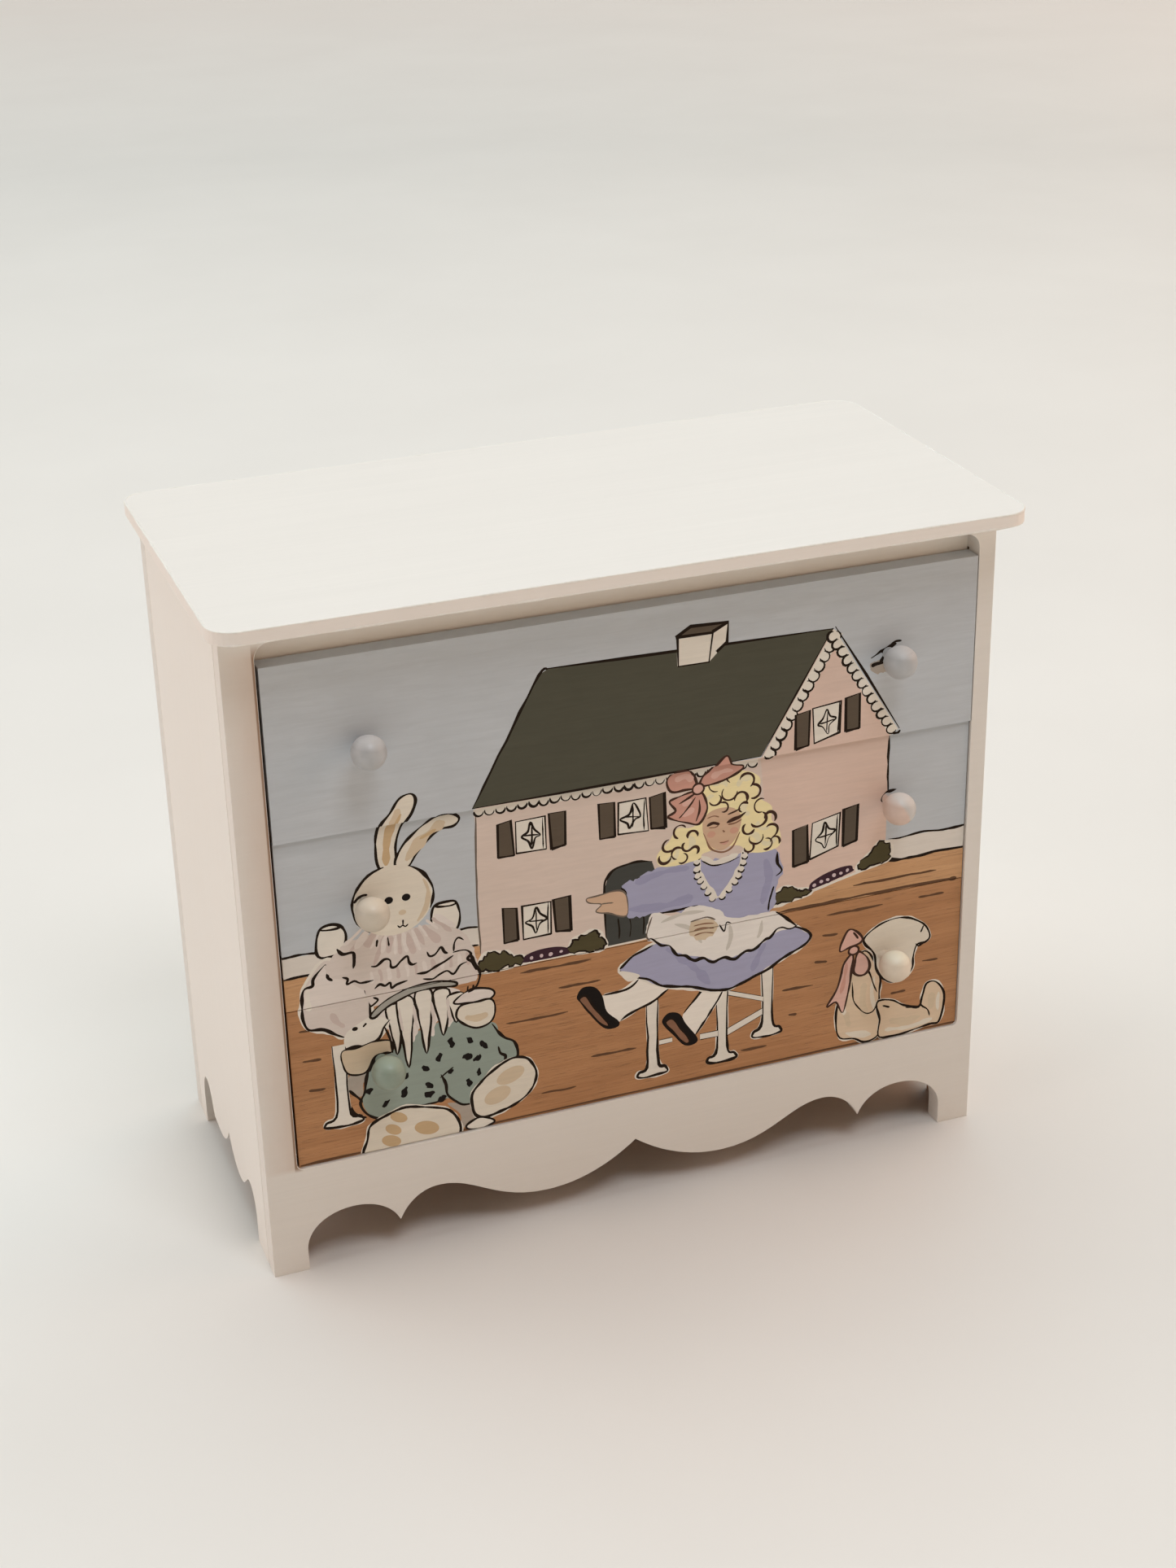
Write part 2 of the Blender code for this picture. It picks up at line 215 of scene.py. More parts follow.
def wood_nodes(finish, axis, light, dark, contrast=1.0):
    """Colour and height of plain straight-grained wood, with its grain along an axis."""
    bands = finish.noise(along(axis, 60, 1.1), detail=5, roughness=0.6, distortion=0.5)
    fibres = finish.noise(along(axis, 7, 0.16), detail=3, roughness=0.7, shift=3.0)
    pores = finish.span(finish.noise(along(axis, 2.2, 0.09), detail=2, shift=9.0), 0.60, 0.72)
    clouds = finish.noise((9, 9, 9), detail=2, shift=5.0)
    grain = finish.span(bands, 0.36, 0.64, 0.5 - 0.5 * contrast, 0.5 + 0.5 * contrast)
    colour = finish.mix(grain, dark, light)
    colour = finish.mix(finish.span(fibres, 0.3, 0.7, 0.0, 0.58), colour, scaled(dark, 0.80))
    colour = finish.mix(finish.span(clouds, 0.35, 0.7, 0.0, 0.22), colour, scaled(light, 1.12))
    colour = finish.mix(finish.math("MULTIPLY", pores, 0.65), colour, scaled(dark, 0.58))
    height = finish.math("SUBTRACT", fibres, finish.math("MULTIPLY", pores, 0.6))
    return colour, height


def wood_material(name, axis, light=WOOD, dark=WOOD_DARK, roughness=0.5, contrast=1.0):
    finish = Finish(name, roughness)
    colour, height = wood_nodes(finish, axis, light, dark, contrast)
    shine = finish.span(height, 0.2, 0.8, roughness - 0.08, roughness + 0.1)
    return finish.finish(colour, finish.relief(height, 0.03), shine)


def white_nodes(finish, axis, tone):
    """Brushed white paint: faint streaks along the board, the grain under it, and rubbed places."""
    brush = finish.noise(along(axis, 26, 0.5), detail=4, roughness=0.6, distortion=0.3)
    grain = finish.noise(along(axis, 40, 0.22), detail=3, roughness=0.65, shift=4.0)
    clouds = finish.noise((14, 14, 14), detail=3, shift=8.0)
    specks = finish.span(finish.noise((0.5, 0.5, 0.5), detail=3, shift=2.0), 0.70, 0.76)
    colour = finish.mix(finish.span(brush, 0.3, 0.7), scaled(tone, 0.985), scaled(tone, 1.012))
    colour = finish.mix(finish.span(grain, 0.55, 0.78, 0.0, 0.07), colour, WHITE_WORN)
    colour = finish.mix(finish.span(clouds, 0.45, 0.75, 0.0, 0.22), colour, scaled(tone, 0.96))
    colour = finish.mix(finish.math("MULTIPLY", specks, 0.10), colour, WHITE_WORN)
    height = finish.math("ADD", brush, finish.math("MULTIPLY", grain, 0.7))
    return colour, height


def white_material(name, axis, bare_side=None, tone=WHITE):
    """White paint on wood. The side that faces bare_side was left unpainted."""
    finish = Finish(name, 0.5, specular=0.4)
    colour, height = white_nodes(finish, axis, tone)
    if bare_side is not None:
        bare, _ = wood_nodes(finish, axis, RAW_WOOD, RAW_WOOD_DARK, 0.7)
        colour = finish.mix(finish.facing(bare_side), colour, bare)
    shine = finish.span(height, 0.5, 1.2, 0.42, 0.58)
    return finish.finish(colour, finish.relief(height, 0.02), shine)


def frame_material():
    """The face frame's white, which thins to pinkish brown beside the left edge of the opening."""
    finish = Finish("white_face_frame", 0.5, specular=0.4)
    colour, height = white_nodes(finish, 0, FRAME_WHITE_SHADED)
    place = finish.position()
    ragged_edge = finish.math("MULTIPLY", finish.noise((1.5, 1.5, 5.0), detail=3, shift=12.0), 1.4 * MM)
    ragged_x = finish.math("ADD", place["X"], ragged_edge)
    above_sill = finish.span(place["Z"], OPENING_BOTTOM - 0.3 * MM, OPENING_BOTTOM + 0.3 * MM)
    below_rail = finish.span(place["Z"], OPENING_TOP - 1.5 * MM, OPENING_TOP, 1.0, 0.0)
    left_part = finish.span(place["X"], OPENING_LEFT + 0.3 * MM, OPENING_LEFT + 0.8 * MM, 1.0, 0.0)
    beside = finish.math("MULTIPLY", left_part, finish.math("MULTIPLY", above_sill, below_rail))
    thin = finish.span(ragged_x, OPENING_LEFT - 3.2 * MM, OPENING_LEFT + 0.5 * MM, 0.0, 0.75)
    colour = finish.mix(finish.math("MULTIPLY", thin, beside), colour, THIN_PAINT)
    brown_line = finish.span(place["X"], OPENING_LEFT - 0.34 * MM, OPENING_LEFT - 0.24 * MM)
    colour = finish.mix(finish.math("MULTIPLY", brown_line, beside), colour, EDGE_BROWN)
    bare, _ = wood_nodes(finish, 0, RAW_WOOD, RAW_WOOD_DARK, 0.7)
    colour = finish.mix(finish.facing((0, 1, 0)), colour, bare)
    return finish.finish(colour, finish.relief(height, 0.02))


def edge_material(name, tone=WHITE):
    """The rounded edge of a painted board, where the paint is thin and rubbed in places."""
    finish = Finish(name, 0.5)
    wear = finish.noise((2.6, 2.6, 2.6), detail=5, roughness=0.7, shift=6.0)
    fine = finish.noise((0.4, 0.4, 0.4), detail=3, shift=1.0)
    colour = finish.mix(finish.span(fine, 0.3, 0.7), scaled(tone, 0.97), scaled(tone, 1.06))
    colour = finish.mix(finish.span(wear, 0.58, 0.72, 0.0, 0.45), colour, WHITE_WORN)
    return finish.finish(colour, finish.relief(fine, 0.02))


def painted_step_shadow(finish):
    """Painted shadow: a darker band just under the top drawer, whose front stands a little proud of the
    others.
    """
    up = finish.position()["Z"]
    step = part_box("drawer_top_front")[0].z
    rising = finish.span(up, step - 2.4 * MM, step - 0.5 * MM, 0.0, 0.42)
    below = finish.span(up, step - 0.18 * MM, step - 0.12 * MM, 1.0, 0.0)
    return finish.math("MULTIPLY", rising, below)


def film_material(name, colour):
    """Hand-laid paint on wood: brush streaks, thin places and the board's grain showing through."""
    is_dark = max(colour) < 0.1
    finish = Finish(name, 0.62, specular=0.05 if is_dark else 0.22)
    brush = finish.noise((5.0, 1.0, 0.55), detail=4, roughness=0.6, distortion=0.6)
    grain = finish.noise((30.0, 1.0, 0.20), detail=3, roughness=0.65, shift=4.0)
    clouds = finish.noise((6.0, 6.0, 6.0), detail=3, shift=7.0)
    tone = finish.mix(finish.span(brush, 0.3, 0.7), scaled(colour, 0.95), scaled(colour, 1.05))
    tone = finish.mix(finish.span(clouds, 0.35, 0.7, 0.0, 0.5), tone, scaled(colour, 0.95))
    tone = finish.mix(finish.span(grain, 0.54, 0.78, 0.0, 0.14), tone, scaled(colour, 0.72))
    # painted shadow below the step where the top drawer's front stands proud
    tone = finish.mix(painted_step_shadow(finish), tone, scaled(colour, 0.72))
    # painted highlight: faces that look up, such as the top drawer's top rim, are painted lighter
    tone = finish.mix(finish.facing((0, 0, 1), 0.5, 0.9), tone, scaled(colour, 1.12))
    height = finish.math("ADD", brush, finish.math("MULTIPLY", grain, 0.8))
    return finish.finish(tone, finish.relief(height, 0.022))


# ---------------------------------------------------------------- curves in the picture's plane

def spline(points, closed=False, steps=5):
    """A Catmull-Rom curve through the points."""
    count = len(points)
    found = []
    for index in range(count if closed else count - 1):
        near = []
        for offset in (-1, 0, 1, 2):
            place = index + offset
            near.append(points[place % count] if closed else points[min(max(place, 0), count - 1)])
        for step in range(steps):
            t = step / steps
            weights = (-0.5 * t**3 + t**2 - 0.5 * t,
                       1.5 * t**3 - 2.5 * t**2 + 1,
                       -1.5 * t**3 + 2 * t**2 + 0.5 * t,
                       0.5 * t**3 - 0.5 * t**2)
            found.append(tuple(sum(w * p[axis] for w, p in zip(weights, near)) for axis in (0, 1)))
    if not closed:
        found.append(tuple(points[-1]))
    return found


def arc(centre, radius, start, end, steps=10, tall=None):
    """Points on an arc or, with tall, on part of an ellipse; the angles are in degrees."""
    found = []
    for step in range(steps + 1):
        angle = math.radians(start + (end - start) * step / steps)
        across = radius * math.cos(angle)
        up = (tall or radius) * math.sin(angle)
        found.append((centre[0] + across, centre[1] + up))
    return found


def oval(centre, across, up, turn=0.0, steps=20):
    """A closed ellipse, turned by an angle in degrees."""
    c = math.cos(math.radians(turn))
    s = math.sin(math.radians(turn))
    found = []
    for x, z in arc((0, 0), across, 0, 360, steps, up)[:-1]:
        found.append((centre[0] + x * c - z * s, centre[1] + x * s + z * c))
    return found


def between(start, end, share):
    return tuple(a + (b - a) * share for a, b in zip(start, end))


# ---------------------------------------------------------------- films of paint

BOARDS = {name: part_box(f"drawer_{name}_front") for name in DRAWERS}
COAT = 0.035 * MM              # thickness of the paint
BURIED = 0.02 * MM             # the paint starts this far inside the wood
WRAP = 0.6 * MM                # and runs this far back round the rim of a board
LAPS = {"bottom": (0.30, 0.18, 0.20, 0.10), "middle": (0.30, 0.18, 0.10, 0.10),
        "top": (0.30, 0.18, 0.10, 0.03)}       # overhang at left, right, bottom and top, in millimetres
PEN = 1.15                     # how much broader the brush lines are than their named widths
MERGED = 0.002                 # corners nearer than this become one, in millimetres
AT_RIM = 0.01                  # and a corner nearer than this to the rim lies on it
laid = []                      # every painted shape, in the order in which it was painted
HAND = 2                       # seed of the unsteady hand, so that every run draws the same picture
noise.seed_set(HAND)


def link_piece(name, bm, material, smooth=False):
    """Makes an object of a finished mesh."""
    mesh = bpy.data.meshes.new(name)
    bm.to_mesh(mesh)
    bm.free()
    if smooth:
        mesh.shade_smooth()
    mesh.materials.append(material)
    piece = bpy.data.objects.new(name, mesh)
    bpy.context.scene.collection.objects.link(piece)
    return piece


def rim(name):
    """Left, right, bottom and top of the paint on a drawer front, in the picture's millimetres."""
    low, high = BOARDS[name]
    left, right, bottom, top = LAPS[name]
    return ((low.x - BODY_LEFT) / MM - left, (high.x - BODY_LEFT) / MM + right,
            low.z / MM - bottom, high.z / MM + top)


def covered(points, outline):
    """Which of the points lie inside an outline, which may cross itself."""
    x, z = points.T
    turns = np.zeros(len(points), int)
    for (ax, az), (bx, bz) in zip(outline, outline[1:] + outline[:1]):
        side = (bx - ax) * (z - az) - (bz - az) * (x - ax)
        turns += (az <= z) & (z < bz) & (side > 0)
        turns -= (bz <= z) & (z < az) & (side < 0)
    return turns != 0


def flat_patches(name):
    """Cuts a drawer front into triangles, each with the paint that lies uppermost there."""
    left, right, bottom, top = rim(name)
    verts = [(left, bottom), (right, bottom), (right, top), (left, top)]
    edges = [(0, 1), (1, 2), (2, 3), (3, 0)]
    here = []
    for paint, outline in laid:
        xs, zs = zip(*outline)
        if max(zs) > bottom and min(zs) < top and max(xs) > left and min(xs) < right:
            first = len(verts)
            count = len(outline)
            verts.extend(outline)
            edges.extend((first + i, first + (i + 1) % count) for i in range(count))
            here.append((paint, outline))
    found = geometry.delaunay_2d_cdt([Vector(v) for v in verts], edges, [], 0, MERGED, False)
    places = np.array([tuple(v) for v in found[0]])
    triangles = np.array(found[2])
    centres = places[triangles].mean(axis=1)
    uppermost = np.full(len(triangles), "", dtype="U20")
    for paint, outline in here:
        low = np.min(outline, axis=0)
        high = np.max(outline, axis=0)
        near = np.flatnonzero(((centres > low) & (centres < high)).all(axis=1))
        uppermost[near[covered(centres[near], outline)]] = paint
    inside = ((centres > (left, bottom)) & (centres < (right, top))).all(axis=1)
    return places, triangles[inside], uppermost[inside]


def paint_film(name, paint, places, triangles):
    """One paint on one drawer front: a closed film that wraps round the rim of the board."""
    low, high = BOARDS[name]
    left, right, bottom, top = rim(name)
    bm = bmesh.new()
    verts = {}
    for index in np.unique(triangles):
        x, z = places[index]
        on_top = abs(z - top) < AT_RIM
        on_rim = on_top or min(abs(z - bottom), abs(x - left), abs(x - right)) < AT_RIM
        back = low.y + (WRAP if on_rim else BURIED)
        if on_top and name == "top":
            back = high.y
        verts[index] = bm.verts.new((BODY_LEFT + x * MM, back, z * MM))
    for triangle in triangles:
        bm.faces.new([verts[index] for index in triangle])
    made = bmesh.ops.extrude_face_region(bm, geom=bm.faces[:])
    for element in made["geom"]:
        if isinstance(element, bmesh.types.BMVert):
            element.co.y = low.y - COAT
    bmesh.ops.recalc_face_normals(bm, faces=bm.faces[:])
    piece = link_piece(f"picture_{name}_{paint}", bm, paint_finishes[paint])
    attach(piece, f"drawer_{name}")


def build_films():
    for name in DRAWERS:
        places, triangles, paints = flat_patches(name)
        for paint in sorted(set(paints) - {""}):
            paint_film(name, paint, places, triangles[paints == paint])


def wobble(point, size=0.06, pace=0.55):
    """Moves a point a little, the same way as its neighbours, like an unsteady hand."""
    drift = noise.noise_vector(Vector((point[0] * pace, point[1] * pace, 0.37 * len(laid))))
    return (point[0] + drift.x * size * 2, point[1] + drift.y * size * 2)


def ragged(points, size=0.16, pitch=0.45, closed=True):
    """Roughens an outline with small uneven dents, as a nearly dry brush leaves it."""
    found = []
    path = spline(points, closed)
    if closed:
        path.append(path[0])
    for start, end in zip(path, path[1:]):
        run = math.dist(start, end)
        for step in range(max(1, round(run / pitch))):
            x, z = between(start, end, step * pitch / max(run, pitch))
            dent = noise.noise_vector(Vector((x * 2.3, z * 2.3, 1.7)))
            found.append((x + dent.x * size * 2, z + dent.y * size * 2))
    return found


def fill(paint, outline, smooth=True):
    """Fills a closed outline with paint."""
    laid.append((paint, spline(outline, closed=True) if smooth else list(outline)))


def stroke(points, width=0.3, paint="ink", smooth=True, closed=False, taper=True):
    """One brush line. Its width swells and thins, and its ends are drawn out to a point."""
    path = [wobble(point) for point in (spline(points, closed) if smooth else points)]
    if closed:
        path += path[:2]
    near = []
    far = []
    last = len(path) - 1
    for index, point in enumerate(path):
        ahead = path[min(index + 1, last)]
        behind = path[max(index - 1, 0)]
        run = Vector((ahead[0] - behind[0], ahead[1] - behind[1]))
        if run.length < 1e-6:
            run = Vector((1, 0))
        run.normalize()
        swell = 1.0 + 0.75 * noise.noise(Vector((point[0] * 0.9, point[1] * 0.9, width * 7)))
        if taper and not closed:
            from_end = min(index, last - index) / max(last, 1)
            swell *= min(1.0, 0.3 + 5 * from_end)
        half = PEN * width * swell / 2
        near.append((point[0] - run.y * half, point[1] + run.x * half))
        far.append((point[0] + run.y * half, point[1] - run.x * half))
    laid.append((paint, near + far[::-1]))


def drawn(paint, outline, width=0.32, smooth=True, line="ink", halo=None):
    """Fills an outline and draws a line round it, on a pale undercoat that shows past the line."""
    if halo is not None:
        stroke(outline, width + 0.17, halo, smooth, closed=True)
    fill(paint, outline, smooth)
    stroke(outline, width, line, smooth, closed=True)


def dab(paint, points, width):
    """A broad brush mark, for light and shade inside a painted shape."""
    stroke(points, width, paint)


# ---------------------------------------------------------------- the picture: room and floor

def paint_room():
    """Stained floor, plain blue-grey wall, white baseboard and the ink lines that end the floor."""
    fill("stain", [(0, 10), (88, 10), (88, 32.7), (0, 32.7)], smooth=False)
    fill("pale_stain", [(0, 32.7), (88, 32.7), (88, 80), (0, 80)], smooth=False)
    fill("wall", [(3.5, 38.9), (25.3, 38.3), (60, 38.8), (84.5, 39.2), (84.5, 76), (3.5, 76)], smooth=False)
    fill("baseboard", [(3.5, 36.6), (25.4, 36.2), (25.4, 38.5), (3.5, 39.2)], smooth=False)
    fill("baseboard", [(73.0, 36.7), (84.5, 36.7), (84.5, 39.5), (73.0, 39.4)], smooth=False)
    stroke([(3.5, 39.2), (5.6, 39.3), (7.6, 39.1)], 0.24)
    stroke([(23.1, 38.5), (24.2, 38.6), (25.3, 38.5)], 0.22)
    stroke([(3.5, 36.5), (5.4, 36.7), (7.4, 36.6)], 0.26)
    stroke([(22.9, 36.2), (24.0, 36.4), (25.3, 36.3)], 0.24)
    stroke([(74.0, 39.5), (75.6, 39.4), (78.0, 39.6), (81.0, 39.4), (84, 39.5)], 0.24)
    stroke([(73.5, 37.1), (75.0, 36.7), (77.2, 36.6), (80.0, 36.8), (84, 36.7)], 0.34)


def paint_floorboards():
    """Short dark lines for the joints between floorboards."""
    dashes = ((30.0, 5.0, 8.5), (26.3, 5.2, 7.2), (22.6, 5.6, 7.4), (31.8, 29.8, 38.1), (29.0, 34.2, 39.2),
              (25.8, 28.0, 35.3), (19.3, 37.8, 43.3), (15.9, 31.8, 36.0), (15.9, 56.0, 59.3),
              (34.4, 69.8, 80.3), (31.3, 66.5, 73.6), (31.2, 78.2, 81.5), (28.7, 66.1, 68.0),
              (25.4, 65.2, 66.8), (22.6, 61.1, 65.0), (22.6, 79.0, 81.0), (19.2, 62.0, 63.0),
              (19.2, 75.0, 77.0), (16.6, 79.2, 81.4), (12.0, 40.0, 44.0))
    for height, start, end in dashes:
        middle = between((start, height), (end, height), 0.45)
        stroke([(start, height + 0.05), middle, (end, height - 0.05)], 0.26, "plank")
    stroke([(60.0, 32.95), (66, 32.9), (75, 32.95), (82.9, 32.9)], 0.34, "plank")
    fill("plank", oval((82.5, 32.8), 0.5, 0.28))
    stroke([(4.0, 13.5), (20, 13.45), (44, 13.55), (66, 13.5), (84.0, 13.5)], 0.2, "plank", taper=False)


# ---------------------------------------------------------------- the picture: the house

def scallops(start, end, count, size, side, sweep=105):
    """A row of round white scallops along a line, hanging to one side of it."""
    run = Vector((end[0] - start[0], end[1] - start[1])).normalized()
    away = Vector((-run.y, run.x)) * side
    tilt = math.degrees(math.atan2(away.y, away.x))
    strip = [start, end, (end[0] + away.x * size, end[1] + away.y * size),
             (start[0] + away.x * size, start[1] + away.y * size)]
    fill("lace", strip, smooth=False)
    centres = []
    for index in range(count):
        x, z = between(start, end, (index + 0.5) / count)
        centres.append((x + away.x * size * 0.55, z + away.y * size * 0.55))
        fill("lace", oval(centres[-1], size * 0.52, size * 0.52))
    for x, z in centres:
        lean = 14 * noise.noise(Vector((x, z, 0.0)))
        stroke(arc((x, z), size * 0.52, tilt - sweep + lean, tilt + sweep - 15 + lean, 9), 0.2, smooth=False)


def window(x, z, wide, tall, slant=0.0):
    """A window between two dark shutters; slant is the rise of its sill."""
    def at(across, up):
        return (x + across, z + up + slant * across)

    def panel(left, right, bottom, top):
        corners = [at(left, bottom), at(right, bottom), at(right, top), at(left, top)]
        return [wobble(corner, 0.16, 1.3) for corner in corners]

    gap = 0.5
    shutter = wide * 0.22
    pane_left = shutter + gap
    pane_right = wide - shutter - gap
    middle = (pane_left + pane_right) / 2
    for left in (0.0, wide - shutter):
        drawn("shutter", panel(left, left + shutter, 0.0, tall), 0.28, smooth=False)
    drawn("lace", panel(pane_left, pane_right, 0.1, tall - 0.1), 0.21, smooth=False)
    stroke([at(pane_right - 0.32, 0.2), at(pane_right - 0.27, tall - 0.2)], 0.15)
    half = (pane_right - pane_left) * 0.36
    ring = [at(middle - half, tall * 0.5), at(middle - half * 0.35, tall * 0.62), at(middle, tall * 0.86),
            at(middle + half * 0.4, tall * 0.64), at(middle + half, tall * 0.5),
            at(middle + half * 0.35, tall * 0.36), at(middle, tall * 0.14),
            at(middle - half * 0.4, tall * 0.34)]
    stroke([wobble(point, 0.20, 1.9) for point in ring], 0.20, closed=True)
    stroke([at(middle, tall * 0.2), at(middle + 0.05, tall * 0.8)], 0.16)
    stroke([at(middle - half * 0.8, tall * 0.52), at(middle + half * 0.8, tall * 0.47)], 0.16)


def bush(points):
    """A low dark bush with a ragged edge and the pale undercoat under it."""
    shape = ragged(points, 0.24, 0.35)
    stroke(points, 0.55, "lace", closed=True)
    fill("bush", shape, smooth=False)
    stroke(shape, 0.18, smooth=False, closed=True)


def flowers(start, end, count):
    """A low row of pale flowers on dark leaves."""
    fill("plum", spline([between(start, end, -0.06), (start[0], start[1] + 0.5),
                         (between(start, end, 0.3)[0], between(start, end, 0.3)[1] + 0.85),
                         (between(start, end, 0.7)[0], between(start, end, 0.7)[1] + 0.85),
                         (end[0], end[1] + 0.5), between(start, end, 1.06),
                         (end[0], end[1] - 0.4), (start[0], start[1] - 0.4)], True))
    for index in range(count):
        x, z = between(start, end, (index + 0.5) / count)
        petal = oval((x, z + 0.1 * (index % 2)), 0.33, 0.33)
        fill("flower", petal)
        stroke(petal, 0.2, "plum", closed=True)


def paint_house():
    """A pink house with a dark roof, seen from one corner."""
    stroke([(25.5, 33.0), (32, 32.95), (45, 33.0)], 0.3, "lace")
    stroke([(59.9, 33.7), (66, 35.3), (73.7, 36.7)], 0.6, "lace")
    fill("house", [(25.5, 33.0), (45, 33.0), (59.9, 34.0), (58.3, 52.7), (25.5, 52.7)], smooth=False)
    fill("gable", [(59.9, 34.0), (73.7, 36.9), (73.8, 52.8), (74.3, 53.3), (66.4, 66.3), (58.2, 52.7)],
         smooth=False)
    fill("roof", [(25.2, 52.7), (33.0, 66.6), (34.0, 67.1), (42.0, 66.9), (53.0, 66.7), (66.4, 66.4),
                  (58.1, 52.8)], smooth=False)
    stroke([(25.2, 52.7), (29.2, 59.8), (32.9, 66.5), (34.0, 67.1)], 0.26)
    stroke([(33.6, 67.2), (42.0, 66.9), (53.0, 66.7), (66.5, 66.4)], 0.3, smooth=False)
    stroke([(58.1, 52.8), (66.4, 66.4)], 0.24, smooth=False)
    stroke([(25.2, 52.75), (40, 52.8), (58.1, 52.8)], 0.26, smooth=False)
    stroke([(25.6, 51.8), (25.4, 44), (25.5, 35.2)], 0.22, "soft_ink")
    stroke([(73.8, 52.4), (73.7, 48), (73.85, 45.4)], 0.2)
    scallops((25.4, 52.6), (57.9, 52.6), 27, 1.0, -1)
    scallops((58.3, 52.7), (66.5, 66.3), 13, 1.25, -1, 140)
    scallops((66.6, 66.3), (74.6, 53.2), 13, 1.15, -1, 140)
    stroke([(58.2, 52.8), (62.3, 59.6), (66.4, 66.5)], 0.2, smooth=False)
    stroke([(66.7, 66.6), (70.5, 60.4), (74.8, 53.2)], 0.3, smooth=False)
    stroke([(74.0, 52.9), (74.5, 52.7), (74.9, 53.0)], 0.34)
    paint_chimney()
    for x, z in ((27.9, 46.2), (39.4, 46.2), (28.1, 35.9)):
        window(x, z, 7.6, 4.1)
    window(62.1, 52.8, 7.7, 4.15, 0.19)
    window(62.3, 38.3, 7.8, 4.5, 0.24)
    paint_door()
    bush([(25.4, 33.0), (25.5, 34.3), (26.2, 35.1), (27.4, 34.9), (28.5, 34.8), (29.1, 34.1), (30.1, 33.7),
          (30.2, 33.0)])
    bush([(35.8, 33.1), (36.1, 34.6), (37.3, 35.1), (38.6, 35.1), (39.4, 34.4), (39.5, 33.0)])
    bush([(59.9, 34.0), (60.1, 35.0), (61.3, 35.9), (62.6, 35.5), (63.9, 35.1), (64.4, 34.6), (62.0, 34.2)])
    bush([(70.4, 36.3), (70.9, 37.4), (72.0, 38.3), (73.0, 39.3), (74.0, 38.9), (74.4, 38.0), (74.0, 37.0),
          (72.4, 36.6)])
    flowers((30.6, 33.4), (35.2, 33.4), 4)
    flowers((64.6, 35.4), (69.4, 36.6), 6)


def paint_chimney():
    fill("lace", [(48.4, 65.0), (52.0, 64.9), (52.4, 68.2), (48.3, 68.2)], smooth=False)
    fill("lace", [(52.0, 64.9), (54.1, 66.9), (54.2, 69.1), (52.4, 68.2)], smooth=False)
    fill("shutter", [(48.2, 68.3), (50.0, 69.2), (54.2, 69.1), (52.4, 68.2)], smooth=False)
    for line in ([(48.4, 68.2), (48.5, 65.0), (52.0, 64.9), (52.4, 68.2), (48.2, 68.3)],
                 [(48.2, 68.3), (50.0, 69.2), (54.2, 69.1), (54.1, 66.9), (52.9, 65.9)],
                 [(52.4, 68.2), (54.2, 69.1)]):
        stroke(line, 0.3, smooth=False, taper=False)


def paint_door():
    arched = [(39.9, 33.0), (39.8, 40.0), (40.3, 41.6), (41.3, 42.4), (43.2, 42.7), (45.4, 42.4),
              (45.7, 41.4), (45.6, 33.1)]
    fill("door", arched, smooth=False)
    stroke([(39.9, 33.2), (39.8, 40.0), (40.3, 41.6), (41.3, 42.4), (43.2, 42.7), (45.4, 42.4)], 0.26)
    for x in (41.4, 42.7, 44.2):
        stroke([(x, 33.6), (x + 0.1, 35.0), (x, 36.2)], 0.14)
    stroke([(45.4, 36.0), (45.4, 33.2)], 0.16, "shutter")


# ---------------------------------------------------------------- the picture: the toy rabbit

def chair_post(x, z, lean):
    """The rounded end of a chair's arm."""
    shape = [(x - 1.3, z - 1.6), (x - 1.6, z), (x - 1.2, z + 1.6), (x + lean, z + 2.0), (x + 1.3, z + 1.5),
             (x + 1.6, z), (x + 1.0, z - 1.6)]
    drawn("lace", shape, 0.26)
    stroke(arc((x, z + 1.75), 1.25, 190, 350, 8, 0.35), 0.22, smooth=False)


def leg(x, bottom, top, half, foot):
    """A turned leg with a spread foot."""
    shape = [(x - half, top), (x - half * 0.9, bottom + 2.0), (x - foot, bottom + 0.8),
             (x - foot, bottom + 0.2), (x, bottom), (x + foot, bottom + 0.2),
             (x + foot * 0.9, bottom + 0.9), (x + half * 0.9, bottom + 2.0), (x + half, top)]
    stroke(shape, 0.38, "lace")
    fill("lace", spline(shape, False, 4), smooth=False)
    stroke(shape, 0.28)


def paint_rabbit():
    """A stuffed rabbit in a clown's ruffles, sitting on a small chair."""
    chair_post(9.2, 40.1, 0.2)
    chair_post(21.8, 40.3, 0.6)
    fill("smudge", [(10.1, 23.4), (12.4, 23.4), (11.6, 22.2), (11.4, 20.6), (10.1, 21.2)])
    fill("smudge", [(20.9, 17.3), (22.2, 17.1), (23.7, 16.7), (24.0, 14.6), (22.4, 13.8), (22.3, 15.6)])
    leg(9.2, 17.3, 27.5, 0.75, 2.0)
    stroke([(10.0, 21.7), (10.6, 20.8), (11.5, 19.8)], 0.26)
    stroke([(10.1, 19.5), (10.4, 18.6), (11.2, 18.0), (11.7, 17.8)], 0.26)
    rabbit_ears()
    rabbit_trousers()
    rabbit_feet()
    rabbit_sleeves()
    rabbit_ruffles()
    rabbit_head()


